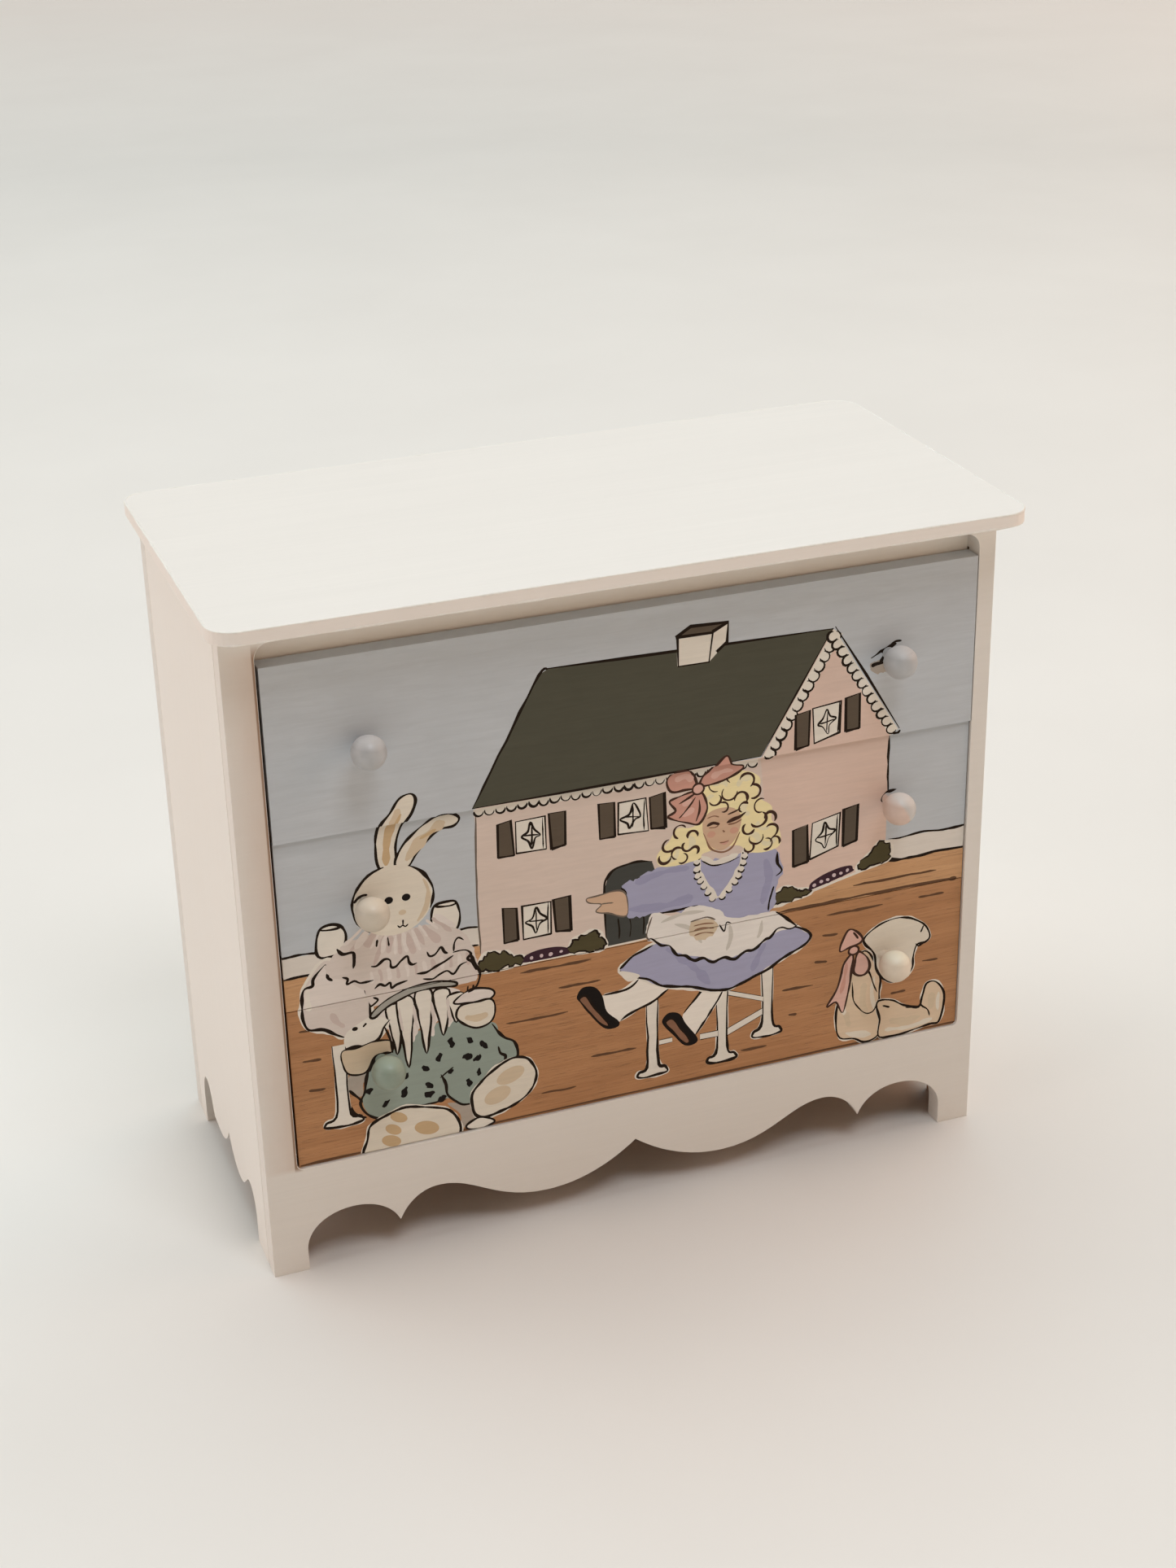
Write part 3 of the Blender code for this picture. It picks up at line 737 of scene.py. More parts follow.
def rabbit_ears():
    drawn("cream", [(15.0, 47.4), (14.6, 50.0), (15.0, 52.3), (16.2, 53.9), (17.4, 55.3), (18.6, 55.7),
                    (19.1, 54.9), (18.6, 53.4), (17.4, 51.9), (16.8, 49.8), (16.6, 47.6)], 0.26)
    drawn("cream", [(16.7, 48.4), (17.8, 50.1), (19.4, 51.4), (21.2, 52.4), (22.8, 52.5), (23.8, 51.8),
                    (23.2, 51.0), (21.6, 50.9), (20.0, 49.7), (18.9, 48.4), (18.0, 47.2), (16.8, 47.2)], 0.26)
    dab("tan", [(15.7, 47.8), (15.8, 50.2), (16.4, 52.2), (17.4, 53.6)], 0.75)
    dab("fur_shade", [(16.2, 52.4), (17.3, 54.2)], 0.55)
    dab("fur_shade", [(17.8, 48.0), (19.2, 49.7), (21.0, 51.1), (22.3, 51.7)], 0.85)
    dab("tan", [(19.4, 50.2), (21.2, 51.0)], 0.35)


def rabbit_head():
    centre = (16.15, 43.6)
    fill("cream", oval(centre, 4.35, 4.1))
    dab("fur_shade", arc(centre, 3.9, 30, -50, 8), 0.5)
    stroke(arc(centre, 4.4, 100, 232, 16, 4.15), 0.3, smooth=False)
    stroke(arc(centre, 4.4, 62, -24, 16, 4.15), 0.3, smooth=False)
    for x in (15.7, 17.6):
        fill("shoe", oval((x, 43.7), 0.47, 0.42))
    fill("fur_shade", oval((17.1, 42.0), 0.42, 0.3))
    stroke([(16.5, 40.6), (16.8, 40.35), (17.1, 40.5), (17.4, 40.3), (17.7, 40.5)], 0.18)
    stroke([(17.1, 41.1), (17.1, 40.5)], 0.16)


def rabbit_ruffles():
    """Pale pink frills round the neck, with soft pleats and the wavy ink edges of two layers."""
    frill = [(9.6, 38.6), (11.4, 39.9), (14.0, 40.1), (17.6, 39.9), (20.6, 39.9), (23.0, 38.9), (24.2, 37.3),
             (24.9, 35.2), (25.2, 33.4), (24.4, 32.0), (21.0, 32.2), (17.0, 32.6), (13.4, 31.4), (12.4, 33.6),
             (10.0, 35.4), (8.4, 36.8)]
    fill("ruffle", ragged(frill, 0.16), smooth=False)
    neck = (16.6, 44.0)
    tones = ("ruffle_light", "ruffle_shade")
    pleats = 19
    for index in range(pleats):
        angle = math.radians(222 + 96 * index / (pleats - 1) + 4 * noise.noise(Vector((index * 0.7, 0, 0))))
        start = 4.5 + 0.6 * noise.noise(Vector((index * 1.3, 2.0, 0)))
        length = 2.4 + 2.0 * noise.noise(Vector((index * 0.9, 5.0, 0)))
        reach = 1 + 0.25 * abs(math.cos(angle))
        line = [(neck[0] + away * math.cos(angle) * reach, neck[1] + away * math.sin(angle))
                for away in (start, start + length * 0.5, start + length)]
        dab(tones[index % 2], line, 0.3 + 0.1 * (index % 4))
    for index in range(12):
        x = 13.2 + index * 0.98
        dab(tones[index % 2], [(x, 35.7), (x + 0.15, 34.9), (x + 0.1, 34.2)], 0.34)
    edges = (
        [(13.4, 36.3), (14.0, 36.2), (14.8, 36.8), (15.4, 36.6), (15.5, 35.8), (16.0, 35.7), (16.6, 36.3),
         (17.3, 36.7), (17.5, 35.9), (17.9, 35.5), (18.4, 35.6)],
        [(19.5, 36.7), (19.8, 36.1), (20.4, 36.2), (21.1, 36.9), (21.5, 36.3), (21.9, 36.1)],
        [(22.5, 36.2), (22.7, 37.2), (23.1, 37.7), (23.7, 37.3)],
        [(10.1, 35.6), (10.7, 35.3), (10.6, 34.7), (11.4, 34.9), (12.1, 34.5), (13.5, 34.6)],
        [(13.5, 33.5), (14.1, 33.9), (14.7, 33.6), (15.3, 33.9), (15.4, 33.2), (16.0, 33.5), (17.2, 33.7)],
        [(18.2, 34.3), (19.3, 34.3), (20.3, 34.7), (21.4, 35.1), (22.4, 35.6)],
        [(18.9, 33.5), (20.0, 33.3), (20.8, 33.7), (21.6, 33.9), (22.3, 33.4), (23.1, 34.3), (23.9, 34.6)],
        [(22.4, 36.0), (23.8, 36.1), (24.4, 35.5), (24.0, 35.0), (24.5, 34.4), (24.9, 33.3)],
        [(13.3, 32.5), (13.8, 32.1), (13.4, 31.7), (12.9, 31.4)])
    for line in edges:
        stroke(line, 0.25)
    stroke([(9.7, 39.1), (10.3, 38.4), (11.5, 38.3), (11.6, 37.2), (11.4, 36.4)], 0.3)
    stroke([(14.2, 39.3), (14.1, 38.5)], 0.2)
    stroke([(15.3, 39.4), (15.4, 38.3)], 0.2)
    stroke([(24.2, 35.5), (24.7, 34.3), (25.3, 32.9), (24.9, 31.4), (23.9, 30.7)], 0.26)
    drawn("belt", [(12.9, 30.4), (14.6, 31.7), (17.0, 32.7), (20.0, 32.9), (22.4, 32.4), (22.3, 31.9),
                   (19.6, 32.2), (17.2, 31.9), (15.0, 31.0), (13.3, 29.9)], 0.2)


def rabbit_sleeves():
    left = [(8.3, 38.0), (6.6, 36.2), (5.7, 34.5), (5.5, 32.2), (6.0, 30.3), (7.6, 29.6), (8.8, 29.0),
            (9.9, 28.3), (11.6, 29.2), (12.8, 30.6), (12.7, 33.2), (11.6, 35.6), (9.9, 37.2)]
    stroke(left, 0.5, "lace", closed=True)
    fill("ruffle", left)
    fill("ruffle_light", [(8.3, 37.6), (6.8, 36.0), (5.9, 34.5), (5.7, 32.8), (9.0, 32.7), (12.6, 32.8),
                          (11.6, 35.4), (9.8, 37.0)])
    dab("ruffle_shade", [(8.6, 31.6), (9.2, 30.4), (10.0, 29.6)], 0.5)
    dab("lace", [(6.3, 35.0), (6.2, 33.6), (6.4, 32.4)], 0.5)
    stroke([(8.3, 37.6), (7.0, 36.2), (6.8, 35.3), (5.9, 35.0), (5.6, 33.0), (5.6, 31.4), (6.2, 30.1),
            (7.7, 29.8), (8.8, 29.0), (9.9, 28.3)], 0.3)
    stroke([(8.3, 37.6), (8.7, 37.2), (8.6, 36.0), (9.1, 35.4)], 0.3)
    stroke([(12.4, 33.6), (12.9, 32.0), (12.9, 30.2)], 0.24)
    cuff = [(10.0, 28.6), (10.0, 27.0), (12.0, 26.6), (14.0, 27.4), (14.9, 29.2), (13.2, 30.2), (11.4, 29.6)]
    fill("lace", cuff)
    stroke([(9.9, 26.9), (11.2, 26.9), (12.6, 26.7), (13.7, 27.4), (14.3, 28.6), (15.0, 29.4)], 0.24)
    fill("ink", oval((11.1, 29.1), 0.32, 0.25))
    stroke([(12.0, 29.2), (12.4, 29.6)], 0.24)
    drawn("fur_shade", [(9.6, 26.6), (9.5, 25.0), (10.2, 23.6), (12.0, 23.5), (12.8, 24.8), (13.6, 25.3),
                        (15.0, 25.4), (14.9, 26.8), (13.2, 27.1), (11.4, 26.7)], 0.2)
    stroke([(14.4, 28.6), (14.9, 27.0), (15.1, 25.2)], 0.24)
    right = [(22.2, 29.8), (23.2, 30.7), (24.8, 31.1), (26.4, 30.6), (26.8, 29.9), (25.7, 29.2), (23.8, 29.4)]
    drawn("ruffle_light", right, 0.22)
    stroke([(23.9, 31.6), (23.8, 30.9)], 0.18)
    stroke([(24.5, 31.6), (24.4, 30.9)], 0.18)
    drawn("cream", [(22.4, 28.0), (23.0, 29.2), (24.8, 29.4), (26.5, 29.3), (26.9, 27.9), (26.3, 26.5),
                    (24.6, 26.2), (23.2, 27.0)], 0.22)
    dab("fur_shade", [(23.4, 27.8), (24.8, 27.3), (26.0, 27.6)], 0.6)


def rabbit_trousers():
    """Green spotted trousers with the pale ends of the shirt over them."""
    fill("teal", [(12.3, 17.8), (11.4, 19.6), (11.9, 22.5), (12.9, 24.6), (15.0, 25.4), (17.0, 27.0),
                  (19.0, 27.4), (22.2, 28.2), (23.2, 26.8), (26.6, 26.4), (27.3, 24.6), (28.8, 23.3),
                  (29.2, 21.6), (27.5, 21.0), (26.0, 19.6), (24.3, 18.5), (23.6, 16.8), (22.2, 17.0),
                  (21.0, 18.0), (18.5, 17.7), (16.0, 17.9), (13.8, 17.2)])
    stroke([(13.0, 24.6), (12.2, 23.4), (11.8, 22.0), (11.6, 20.8), (11.1, 19.6), (12.0, 18.0), (13.6, 17.2),
            (15.6, 17.9), (18.4, 17.7), (20.8, 17.9)], 0.28)
    stroke([(26.4, 26.3), (27.0, 25.2), (27.8, 24.2), (28.9, 23.4), (29.2, 21.8), (28.8, 21.3), (27.2, 21.0),
            (26.2, 20.2), (25.8, 19.5), (24.6, 19.0)], 0.28)
    stroke([(20.3, 21.2), (20.8, 20.0), (20.9, 18.6), (21.6, 17.6), (22.6, 16.8), (23.7, 16.7)], 0.28)
    stroke([(20.2, 20.8), (20.9, 21.3), (21.8, 21.8)], 0.22)
    stroke([(27.0, 23.2), (27.2, 22.3), (27.8, 21.8), (27.7, 21.2)], 0.24)
    spots = ((12.2, 21.0), (14.0, 19.0), (16.1, 20.0), (18.6, 22.4), (19.0, 20.1), (18.9, 19.0), (16.4, 22.0),
             (20.2, 23.4), (21.7, 24.9), (23.8, 24.8), (23.4, 22.8), (24.5, 22.3), (24.7, 20.5), (23.5, 19.4),
             (25.3, 23.8), (21.4, 21.3), (20.3, 18.1))
    for index, spot in enumerate(spots):
        shape = oval(spot, 0.44 + 0.1 * (index % 3), 0.34, 35 * index, 8)
        fill("shoe", ragged(shape, 0.14, 0.3), smooth=False)
    shirt = [(13.2, 30.0), (14.8, 31.3), (18.0, 32.1), (22.3, 31.7), (23.0, 30.0), (22.3, 28.2), (21.5, 27.0),
             (20.3, 28.0), (19.6, 26.2), (18.3, 27.6), (17.4, 26.0), (16.0, 27.4), (15.0, 26.2), (14.7, 28.4)]
    fill("ruffle_light", ragged(shirt, 0.12), smooth=False)
    for x, top, tip in ((15.6, 30.9, 24.9), (16.8, 31.4, 23.0), (18.9, 31.9, 24.2), (20.9, 31.6, 26.0),
                        (22.4, 30.8, 27.4)):
        drawn("lace", [(x - 0.9, top), (x - 0.6, (top + tip) / 2), (x, tip), (x + 0.6, (top + tip) / 2),
                       (x + 0.9, top)], 0.2)
    for x in (16.1, 17.7, 19.7, 21.5):
        dab("ruffle", [(x, 30.6), (x + 0.1, 28.8), (x + 0.3, 27.6)], 0.26)


def rabbit_feet():
    drawn("cream", [(11.1, 13.1), (11.5, 14.6), (12.0, 16.4), (13.6, 17.4), (16.2, 18.0), (18.8, 17.3),
                    (20.8, 16.6), (21.9, 15.3), (22.3, 13.6), (21.4, 13.0), (16.5, 12.4), (12.0, 12.6)],
          0.28, halo="lace")
    for x, z, across, up, turn in ((15.3, 16.9, 1.05, 0.6, -30), (14.6, 15.5, 1.0, 0.6, -35),
                                   (14.3, 14.1, 1.15, 0.7, -25), (18.4, 14.8, 1.45, 0.85, -20)):
        fill("tan", oval((x, z), across, up, turn))
    drawn("cream", [(23.8, 16.2), (23.9, 18.0), (25.2, 19.4), (26.8, 20.6), (28.6, 21.3), (30.4, 20.8),
                    (31.3, 19.0), (30.9, 17.2), (29.4, 15.8), (27.4, 14.9), (25.4, 14.5), (24.2, 14.9)],
          0.28, halo="lace")
    fill("fur_shade", oval((28.3, 19.2), 1.7, 0.95, 20))
    fill("fur_shade", oval((26.7, 17.0), 1.6, 1.0, 20))
    drawn("lace", [(23.0, 14.0), (24.2, 14.6), (25.8, 14.2), (26.2, 13.6), (24.6, 13.2), (23.2, 13.4)], 0.22)


# ---------------------------------------------------------------- the picture: the doll

def paint_doll():
    """A doll with yellow curls on a round stool."""
    stool()
    doll_legs()
    doll_dress()
    doll_hair()
    doll_bow()


def stool():
    for x, bottom, top in ((45.2, 15.1, 25.4), (53.7, 15.0, 25.0), (59.3, 17.1, 26.4)):
        leg(x, bottom, top, 0.7, 1.7)
    for start, end, half in (((46.0, 19.3), (47.6, 19.3), 0.32), ((51.0, 18.9), (53.2, 18.9), 0.4),
                             ((54.4, 18.8), (58.7, 20.5), 0.42), ((54.5, 23.9), (58.8, 22.1), 0.3)):
        bar = [(start[0], start[1] - half), (end[0], end[1] - half), (end[0], end[1] + half),
               (start[0], start[1] + half)]
        fill("lace", bar, smooth=False)
        for index in (0, 2):
            stroke([bar[index], bar[index + 1]], 0.24, smooth=False)


def shoe(points, sole):
    fill("shoe", points)
    fill("sole", sole)
    stroke(sole, 0.2, closed=True)


def doll_legs():
    fill("stocking", [(44.0, 28.2), (41.6, 27.2), (39.3, 26.9), (39.5, 24.6), (40.6, 23.2), (42.2, 23.4),
                      (44.4, 24.6), (47.2, 26.2)])
    stroke([(43.6, 28.0), (42.2, 27.1), (39.4, 26.9)], 0.26)
    stroke([(41.4, 23.2), (43.2, 24.1), (45.0, 24.6), (47.2, 26.0)], 0.28)
    shoe([(36.3, 27.3), (37.0, 28.4), (38.4, 28.2), (39.3, 26.9), (39.8, 24.8), (41.2, 23.2), (41.0, 22.5),
          (39.6, 22.6), (38.2, 24.2), (37.0, 26.2)],
         [(36.6, 27.0), (37.4, 27.3), (38.6, 25.2), (39.9, 23.2), (39.7, 22.8), (38.6, 23.9), (37.4, 25.6)])
    fill("stocking", [(51.6, 25.2), (50.0, 23.6), (48.9, 22.2), (49.3, 20.8), (50.2, 19.4), (51.0, 19.8),
                      (52.4, 21.8), (54.0, 24.4)])
    stroke([(51.6, 25.2), (50.2, 23.8), (49.0, 22.4)], 0.24)
    stroke([(50.4, 19.3), (51.4, 20.6), (52.6, 22.4), (53.9, 24.4)], 0.24)
    shoe([(46.4, 22.1), (47.2, 22.9), (48.5, 22.5), (49.3, 21.0), (50.7, 18.8), (50.2, 18.1), (49.0, 18.3),
          (47.8, 19.8), (46.7, 21.2)],
         [(46.8, 21.8), (47.6, 22.0), (48.6, 20.6), (49.8, 18.8), (49.3, 18.4), (48.2, 19.6), (47.2, 20.9)])


def doll_dress():
    skirt = [(41.5, 29.6), (43.0, 31.0), (45.4, 32.0), (50.0, 33.0), (57.0, 33.3), (61.4, 31.6), (63.6, 30.0),
             (64.6, 29.1), (63.6, 28.0), (61.2, 26.9), (59.4, 26.2), (57.0, 25.2), (54.6, 24.4), (52.4, 24.6),
             (49.6, 25.6), (46.3, 26.6), (43.8, 28.2)]
    stroke(skirt, 0.45, "lace", closed=True)
    fill("dress", ragged(skirt, 0.1), smooth=False)
    stroke([(41.5, 29.6), (42.8, 28.6), (44.6, 27.9), (46.4, 26.6), (49.4, 25.8), (52.4, 24.7),
            (54.6, 24.4), (57.0, 25.1), (59.6, 26.0), (61.2, 27.0), (63.4, 27.9), (64.6, 29.1),
            (63.2, 30.4), (61.8, 30.9)], 0.28)
    stroke([(41.5, 29.8), (43.0, 31.1), (45.4, 32.0)], 0.26)
    fill("lace", [(41.4, 29.5), (42.4, 28.0), (43.8, 28.4), (43.0, 29.0)])
    bodice = [(41.8, 39.9), (43.4, 40.6), (46.0, 41.4), (50.4, 41.4), (53.4, 41.2), (56.6, 41.2),
              (60.2, 40.8), (60.9, 38.2), (60.2, 36.2), (59.4, 33.2), (52.0, 33.6), (48.6, 35.6),
              (44.0, 35.9), (42.4, 36.4)]
    fill("dress", ragged(bodice, 0.2), smooth=False)
    for line in ([(42.6, 37.0), (47.0, 36.6), (50.2, 37.0)], [(43.4, 40.2), (46.8, 40.8), (49.8, 40.7)],
                 [(58.9, 40.0), (59.3, 37.6), (58.6, 34.4)], [(47.0, 31.2), (50.2, 28.2), (52.2, 25.6)],
                 [(59.0, 29.4), (58.0, 27.6), (57.4, 26.0)]):
        dab("dress_shade", line, 0.8)
    stroke([(45.4, 35.8), (48.0, 35.7), (50.8, 35.9)], 0.24)
    stroke([(41.8, 39.9), (42.2, 39.2), (42.0, 38.2), (42.4, 37.2)], 0.26)
    stroke([(60.3, 40.6), (60.4, 39.2), (60.9, 38.2), (60.2, 37.6)], 0.26)
    stroke([(60.0, 36.4), (59.5, 35.0), (59.3, 33.4)], 0.24)
    doll_apron()
    doll_collar()


def doll_apron():
    apron = [(45.3, 35.9), (44.6, 33.0), (46.8, 31.9), (48.6, 30.2), (51.2, 29.2), (53.0, 28.5), (56.0, 28.5),
             (58.4, 29.3), (60.4, 30.4), (62.6, 30.8), (61.4, 32.2), (59.8, 33.2), (55.0, 33.4), (53.0, 35.0),
             (50.4, 35.9), (47.8, 35.2)]
    fill("apron", ragged(apron, 0.1), smooth=False)
    edge = spline([(44.8, 32.8), (47.0, 31.6), (48.8, 29.9), (51.0, 29.0), (53.4, 28.4), (56.0, 28.4),
                   (58.6, 29.4), (60.4, 30.6), (62.9, 30.7)], steps=4)
    frill = [(x, z + 0.22 * math.sin(index * 1.6)) for index, (x, z) in enumerate(edge)]
    stroke(frill, 0.32)
    stroke([(60.2, 33.1), (61.4, 32.2), (62.8, 30.7)], 0.26)
    stroke([(45.4, 35.6), (44.6, 33.4), (45.0, 32.6)], 0.18, "soft_ink")
    for line in ([(48.0, 34.0), (50.0, 33.0), (51.2, 31.0)], [(54.6, 32.6), (54.8, 31.0), (54.2, 29.4)],
                 [(58.6, 32.4), (58.4, 31.0), (58.0, 30.2)], [(46.4, 34.6), (48.8, 35.2), (51.6, 35.0)]):
        dab("apron_shade", line, 0.34)
    fill("fur_shade", ragged([(49.9, 33.9), (51.4, 34.1), (52.8, 33.6), (53.3, 32.7), (52.2, 31.6),
                              (50.8, 31.5), (49.9, 32.6)], 0.16), smooth=False)
    for height in (32.1, 32.7, 33.3):
        stroke([(50.3, height), (51.5, height + 0.15), (52.7, height - 0.1)], 0.14, "sole")
    stroke([(49.9, 34.0), (51.6, 34.2), (52.9, 33.6)], 0.16, "soft_ink")
    drawn("skin", [(42.3, 36.4), (42.4, 38.6), (41.6, 39.6), (39.6, 39.5), (37.8, 39.4), (38.0, 38.8),
                   (39.4, 38.4), (38.8, 37.6), (40.2, 37.0)], 0.14, line="soft_ink")
    stroke([(39.4, 38.4), (40.8, 38.2)], 0.14, "soft_ink")
    stroke([(53.4, 32.9), (54.0, 31.9), (54.2, 33.0), (54.8, 32.8)], 0.2)


def doll_collar():
    """A lace collar that comes down to a point on the chest."""
    for outwards, points in ((-1, [(50.9, 42.0), (50.9, 40.0), (51.7, 38.2), (52.9, 36.2)]),
                             (1, [(56.3, 41.6), (55.9, 39.8), (55.0, 38.0), (53.3, 36.2)])):
        path = spline(points, steps=5)
        stroke(path, 0.62, "lace", smooth=False, taper=False)
        for index in range(0, len(path), 2):
            x, z = path[index]
            centre = (x + outwards * 0.22, z - 0.12)
            fill("lace", oval(centre, 0.36, 0.38))
            stroke(arc(centre, 0.40, 90 - outwards * 100, 90 - outwards * 260, 8), 0.17, smooth=False)
    stroke([(51.2, 41.8), (52.4, 40.9), (53.8, 40.8), (55.6, 41.3)], 0.7, "lace")
    stroke([(51.2, 41.3), (52.4, 40.5), (53.8, 40.4), (55.8, 40.9)], 0.16)


def doll_hair():
    fill("hair", [(50.7, 46.0), (50.9, 48.2), (52.0, 50.4), (54.0, 51.5), (56.6, 51.2), (58.2, 50.0),
                  (58.0, 47.9), (59.6, 46.4), (59.6, 44.8), (60.6, 43.2), (60.6, 41.4), (58.8, 40.9),
                  (56.8, 41.3), (55.4, 42.4), (51.6, 42.2), (51.0, 41.6), (48.4, 41.3), (46.4, 41.6),
                  (46.0, 43.0), (47.4, 44.4), (48.4, 45.8), (49.8, 45.6)])
    lights = ((53.4, 49.8), (56.4, 49.6), (52.6, 48.2), (57.0, 46.8), (58.8, 44.6), (59.2, 42.6),
              (47.6, 43.0), (49.4, 43.8), (57.2, 42.6))
    for index, (x, z) in enumerate(lights):
        dab("hair_light", arc((x, z), 0.8, 40 * index, 40 * index + 150, 6), 0.5)
    doll_face()
    curls = ((53.0, 50.3, 0.9, 60), (55.0, 50.9, 0.8, 20), (56.6, 50.0, 0.9, 300), (57.4, 48.6, 0.8, 250),
             (54.6, 49.0, 0.9, 140), (55.9, 48.0, 0.8, 330), (52.9, 48.4, 0.7, 190), (53.8, 47.3, 0.6, 250),
             (58.3, 46.7, 0.8, 60), (58.0, 45.1, 0.9, 200), (59.4, 45.0, 0.7, 320), (56.9, 44.2, 0.7, 120),
             (59.6, 43.4, 0.8, 280), (57.8, 42.9, 0.8, 160), (59.0, 41.9, 0.7, 240), (56.9, 41.9, 0.6, 180),
             (60.1, 42.0, 0.6, 320), (48.8, 45.3, 0.8, 30), (50.2, 44.6, 0.6, 340), (47.4, 43.9, 0.7, 90),
             (46.9, 42.5, 0.7, 150), (48.4, 42.8, 0.7, 40), (49.6, 43.4, 0.6, 120), (49.0, 42.0, 0.6, 220),
             (50.4, 42.7, 0.5, 300), (56.3, 46.9, 0.6, 30))
    for x, z, radius, start in curls:
        stroke(arc((x, z), radius, start, start + 220, 9), 0.23, "umber")


def doll_face():
    fill("skin", [(51.4, 46.0), (51.5, 44.4), (52.2, 43.0), (53.6, 42.1), (55.0, 42.9), (55.8, 44.4),
                  (55.9, 46.0), (54.9, 47.1), (53.2, 47.3), (52.0, 46.9)])
    for x in (52.4, 55.1):
        fill("cheek", oval((x, 44.3), 0.5, 0.4))
    stroke([(51.5, 44.6), (52.2, 42.9), (53.1, 42.1), (54.1, 41.9), (55.1, 42.5), (55.8, 44.0)], 0.18, "sole")
    stroke([(51.9, 45.45), (52.6, 45.7), (53.35, 45.4)], 0.3, "umber")
    stroke([(52.1, 45.15), (52.8, 45.1), (53.2, 45.3)], 0.15, "sole")
    stroke([(51.9, 46.3), (52.7, 46.5), (53.3, 46.3)], 0.13, "sole")
    stroke([(54.2, 45.4), (55.0, 45.7), (55.8, 45.9), (56.5, 46.3)], 0.32, "umber")
    stroke([(54.4, 45.15), (55.2, 45.2), (56.0, 45.5)], 0.15, "sole")
    stroke([(54.4, 46.3), (55.2, 46.5), (55.9, 46.8)], 0.15, "umber")
    stroke([(53.75, 44.6), (53.85, 44.35), (54.0, 44.4)], 0.16, "sole")
    fill("bow", [(53.4, 43.1), (53.95, 43.2), (54.5, 43.1), (54.0, 42.75)])
    stroke([(53.4, 43.1), (53.95, 43.0), (54.5, 43.1)], 0.12, "sole")


def doll_bow():
    drawn("bow", [(50.6, 50.3), (49.0, 50.2), (47.6, 50.4), (47.3, 51.8), (48.4, 52.7), (49.8, 52.5),
                  (50.6, 51.4)], 0.24, line="umber")
    drawn("bow", [(51.2, 50.4), (53.2, 50.4), (55.6, 51.2), (56.2, 51.9), (54.8, 52.4), (54.0, 53.6),
                  (52.4, 52.2), (51.4, 51.4)], 0.24, line="umber")
    drawn("bow", [(50.6, 49.9), (49.0, 49.6), (47.5, 49.2), (48.2, 48.0), (47.3, 47.3), (49.6, 46.3),
                  (51.0, 45.9), (51.9, 47.6), (51.4, 49.4)], 0.22, line="umber")
    for line in ([(48.2, 51.6), (49.4, 51.9), (50.2, 51.2)], [(52.4, 51.2), (54.0, 51.7), (55.0, 51.6)],
                 [(49.0, 48.6), (50.2, 48.8)], [(49.0, 47.2), (50.4, 47.8)]):
        dab("bow_light", line, 0.6)
    for line in ([(50.5, 49.6), (48.6, 48.7)], [(50.6, 49.2), (49.2, 47.6), (48.6, 47.0)],
                 [(51.0, 48.8), (51.0, 47.4), (50.6, 46.2)]):
        stroke(line, 0.2, "umber")
    drawn("bow_light", oval((50.9, 50.1), 0.7, 0.65), 0.22, line="umber")


# ---------------------------------------------------------------- the picture: the plush toy

def paint_plush():
    """A floppy cream plush toy with a pink bow, leaning over."""
    drawn("plush", [(69.6, 22.6), (68.4, 20.0), (68.0, 17.0), (68.7, 14.7), (70.6, 14.1), (72.0, 13.4),
                    (73.5, 14.0), (73.9, 16.4), (73.5, 19.4), (73.6, 21.6), (72.6, 24.4), (71.2, 25.6)],
          0.22, halo="lace")
    drawn("plush", [(73.3, 18.4), (75.2, 18.3), (76.8, 17.3), (78.8, 16.6), (79.2, 18.2), (79.7, 19.5),
                    (80.9, 19.5), (81.9, 18.2), (82.0, 16.2), (81.5, 14.0), (80.2, 13.9), (77.0, 13.5),
                    (73.8, 13.6), (73.7, 16.0)], 0.22, halo="lace")
    drawn("cream", [(71.4, 27.3), (72.8, 28.4), (75.0, 29.1), (77.3, 28.7), (79.0, 27.5), (79.8, 26.0),
                    (79.3, 25.2), (78.2, 25.0), (77.8, 23.4), (77.6, 21.8), (75.8, 20.8), (74.0, 21.4),
                    (73.0, 23.0), (72.8, 24.8), (71.6, 26.4)], 0.22, halo="lace")
    shades = (([(71.6, 21.4), (71.4, 18.8), (71.9, 16.8)], 0.9), ([(69.3, 18.0), (69.8, 16.0)], 0.6),
              ([(75.0, 15.6), (77.0, 15.0), (79.0, 15.3)], 0.8), ([(80.4, 18.2), (80.3, 16.0)], 0.8))
    for line, width in shades:
        dab("fur_shade", line, width)
    lights = (([(69.4, 15.2), (70.4, 14.8), (72.6, 14.3)], 0.7), ([(69.0, 19.6), (69.1, 17.6)], 0.4),
              ([(74.4, 14.4), (77.4, 14.2), (80.6, 14.6)], 0.5), ([(81.3, 18.0), (81.3, 15.6)], 0.4),
              ([(72.9, 22.0), (72.6, 19.6), (73.0, 17.6)], 0.4))
    for line, width in lights:
        dab("cream", line, width)
    for line in ([(79.2, 18.4), (79.0, 17.0), (79.9, 16.0), (80.2, 15.0)], [(77.0, 16.9), (78.6, 16.7)],
                 [(74.0, 17.8), (75.0, 17.4)], [(71.2, 24.6), (72.4, 22.0), (73.2, 19.8)],
                 [(70.0, 21.8), (70.3, 19.4), (71.6, 17.4), (72.8, 17.4), (73.4, 18.8)],
                 [(78.1, 25.2), (78.5, 24.8), (79.2, 25.2)], [(79.0, 27.4), (78.6, 26.6)]):
        stroke(line, 0.18)
    paint_plush_bow()


